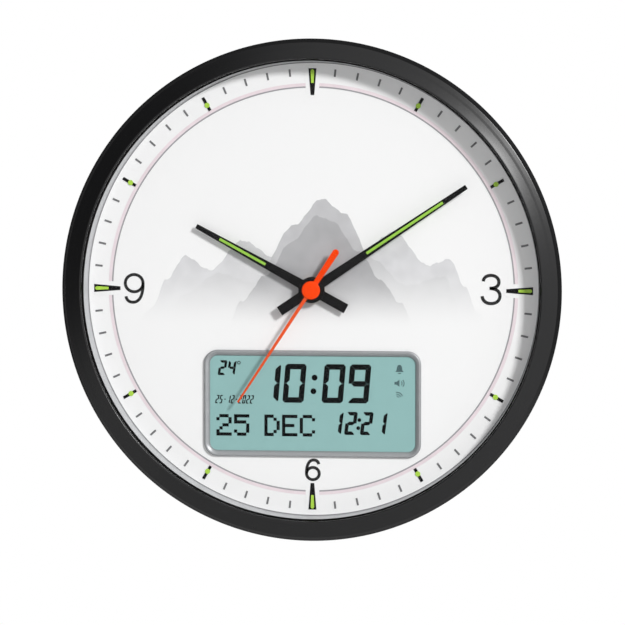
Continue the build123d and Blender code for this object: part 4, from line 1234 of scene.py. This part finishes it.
@dataclass
class Studio:
    """White surroundings, a pale floor, one broad lamp and the camera."""

    azimuth: float = 7.0  # where the camera stands, in degrees to the right of the dial's normal
    elevation: float = 3.8  # how far it stands above the shaft, in degrees
    lens: float = 272.0  # focal length
    sensor: float = 36.0  # width of the sensor
    frame_width: float = 397.1  # width that the picture covers at the rim
    aim_depth: float = 39.5  # depth of the rim, at which the camera looks
    right_shift: float = 1.24  # how far to the right of the rim's middle it looks
    down_shift: float = 13.97  # how far below it
    ambient: float = 0.42  # strength of the surroundings on matt surfaces
    key_power: float = 281.0  # power of the lamp, in watts
    key_place: tuple[float, float, float] = (3.43, -4.0, 2.58)  # place of the lamp, in metres
    key_size: float = 0.9  # side of the lamp, in metres
    floor_drop: float = 0.6  # how far the floor lies below the shaft, in metres
    floor_radius: float = 1.9  # radius of the floor, in metres
    floor_plain: float = 0.5  # radius within which the floor is full, in metres
    dark_toward: tuple[float, float, float] = (-0.695, -0.656, 0.295)  # where gloss finds them dark
    dark_edge: Point = (0.76, 0.93)  # cosines from there at which the dark starts and is full
    dark: float = 0.97  # how dark it is
    belt_edge: Point = (0.5, 0.2)  # the same for the dark all round, as shares straight ahead
    belt: float = 0.85  # how dark that is

    def build(self) -> None:
        """Sets up surroundings, floor, lamp and camera."""
        self._surroundings()
        self._floor()
        self._lamp()
        self._camera()
        bpy.context.scene.view_settings.view_transform = "Standard"

    def _brightness(self, graph: Graph, glossy: Socket) -> Socket:
        """Strength of the surroundings, which gloss finds dark all round and at the upper left.

        Args:
            graph: nodes of the world
            glossy: 1 for a glossy ray

        Returns:
            1, or less for a glossy ray towards a dark side
        """
        ray = graph.add("TexCoord").outputs["Generated"]
        inputs = {0: ray, 1: self.dark_toward}
        toward = graph.add("VectorMath", inputs, operation="DOT_PRODUCT").outputs["Value"]
        patch = graph.span(toward, self.dark_edge, (0.0, self.dark))
        ahead = graph.combine("ABSOLUTE", graph.add("SeparateXYZ", {"Vector": ray}).outputs["Y"])
        belt = graph.span(ahead, self.belt_edge, (0.0, self.belt))
        dark = graph.combine("MAXIMUM", patch, belt)
        return graph.combine("SUBTRACT", 1.0, graph.combine("MULTIPLY", glossy, dark))

    def _surroundings(self) -> None:
        """Makes a world that looks white, also in gloss and through glass, and lights matt surfaces."""
        world = bpy.data.worlds.new("surroundings")
        bpy.context.scene.world = world
        graph = Graph(world)
        path = graph.add("LightPath").outputs
        looking = graph.combine("MAXIMUM", path["Is Camera Ray"], path["Is Glossy Ray"])
        looking = graph.combine("MAXIMUM", looking, path["Is Transmission Ray"])
        white = (1.0, 1.0, 1.0, 1.0)
        lit = graph.tree.nodes["Background"]
        graph.feed(lit, {"Color": white, "Strength": self.ambient})
        strength = self._brightness(graph, path["Is Glossy Ray"])
        seen = graph.add("Background", {"Color": white, "Strength": strength})
        graph.mix(looking, lit.outputs["Background"], seen.outputs["Background"], "World Output")

    def _floor(self) -> None:
        """Makes a pale round floor whose edge melts into the surroundings."""
        grid = bmesh.new()
        bmesh.ops.create_circle(grid, cap_ends=True, radius=self.floor_radius, segments=96)
        mesh = bpy.data.meshes.new("floor")
        grid.to_mesh(mesh)
        grid.free()
        material = bpy.data.materials.new("pale_floor")
        graph = Graph(material)
        shader = graph.tree.nodes["Principled BSDF"]
        graph.feed(shader, {"Base Color": (0.9, 0.9, 0.9, 1.0), "Roughness": 0.8})
        reach = graph.add("VectorMath", {0: graph.surface()}, operation="LENGTH").outputs["Value"]
        edge = graph.span(reach, (self.floor_plain, self.floor_radius - 0.1), (0.0, 1.0))
        gone = graph.add("BsdfTransparent").outputs["BSDF"]
        graph.mix(edge, shader.outputs["BSDF"], gone, "Material Output")
        mesh.materials.append(material)
        floor = placed("floor", mesh)
        floor.location = (0.0, 0.0, -self.floor_drop)

    def _lamp(self) -> None:
        """Hangs a square lamp that shines on the dial."""
        data = bpy.data.lights.new("key_lamp", "AREA")
        data.size = self.key_size
        data.energy = self.key_power
        place = Vector(self.key_place)
        self._aimed(placed("key_lamp", data), place, -place)

    def _camera(self) -> None:
        """Sets up the camera, far off, with a long lens."""
        turn, tilt = math.radians(self.azimuth), math.radians(self.elevation)
        level = math.cos(tilt)
        back = Vector((math.sin(turn) * level, -math.cos(turn) * level, math.sin(tilt)))
        right = Vector((math.cos(turn), math.sin(turn), 0.0))
        up = right.cross(-back)
        aim = spot(0, 0, self.aim_depth) + right * self.right_shift * MM - up * self.down_shift * MM
        data = bpy.data.cameras.new("camera")
        data.lens = self.lens
        data.sensor_width = self.sensor
        data.clip_start = 0.05
        data.clip_end = 50.0
        camera = placed("camera", data)
        self._aimed(camera, aim + back * (self.frame_width * MM * self.lens / self.sensor), -back)
        bpy.context.scene.camera = camera

    def _aimed(self, thing: bpy.types.Object, place: Vector, toward: Vector) -> None:
        """Sets a lamp or camera up.

        Args:
            thing: the lamp or camera
            place: where it stands
            toward: the way it faces
        """
        thing.location = place
        thing.rotation_mode = "QUATERNION"
        thing.rotation_quaternion = toward.to_track_quat("-Z", "Y")


def main() -> None:
    """Builds each sub-assembly in order."""
    logging.basicConfig(level=logging.INFO, format="%(name)s: %(message)s")
    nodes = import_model()["nodes"]
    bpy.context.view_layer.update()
    dress(nodes["lens"], GLASS)
    dress(nodes["dial_plate"], CARD_WHITE)
    Rim().build()
    InnerRing().build()
    Dial().build()
    Markers().build(nodes)
    Hands().build()
    Display().build(nodes)
    Back().build(nodes)
    Works().build(nodes)
    Studio().build()
    LOG.info("sizes written")


if __name__ == "__main__":
    main()
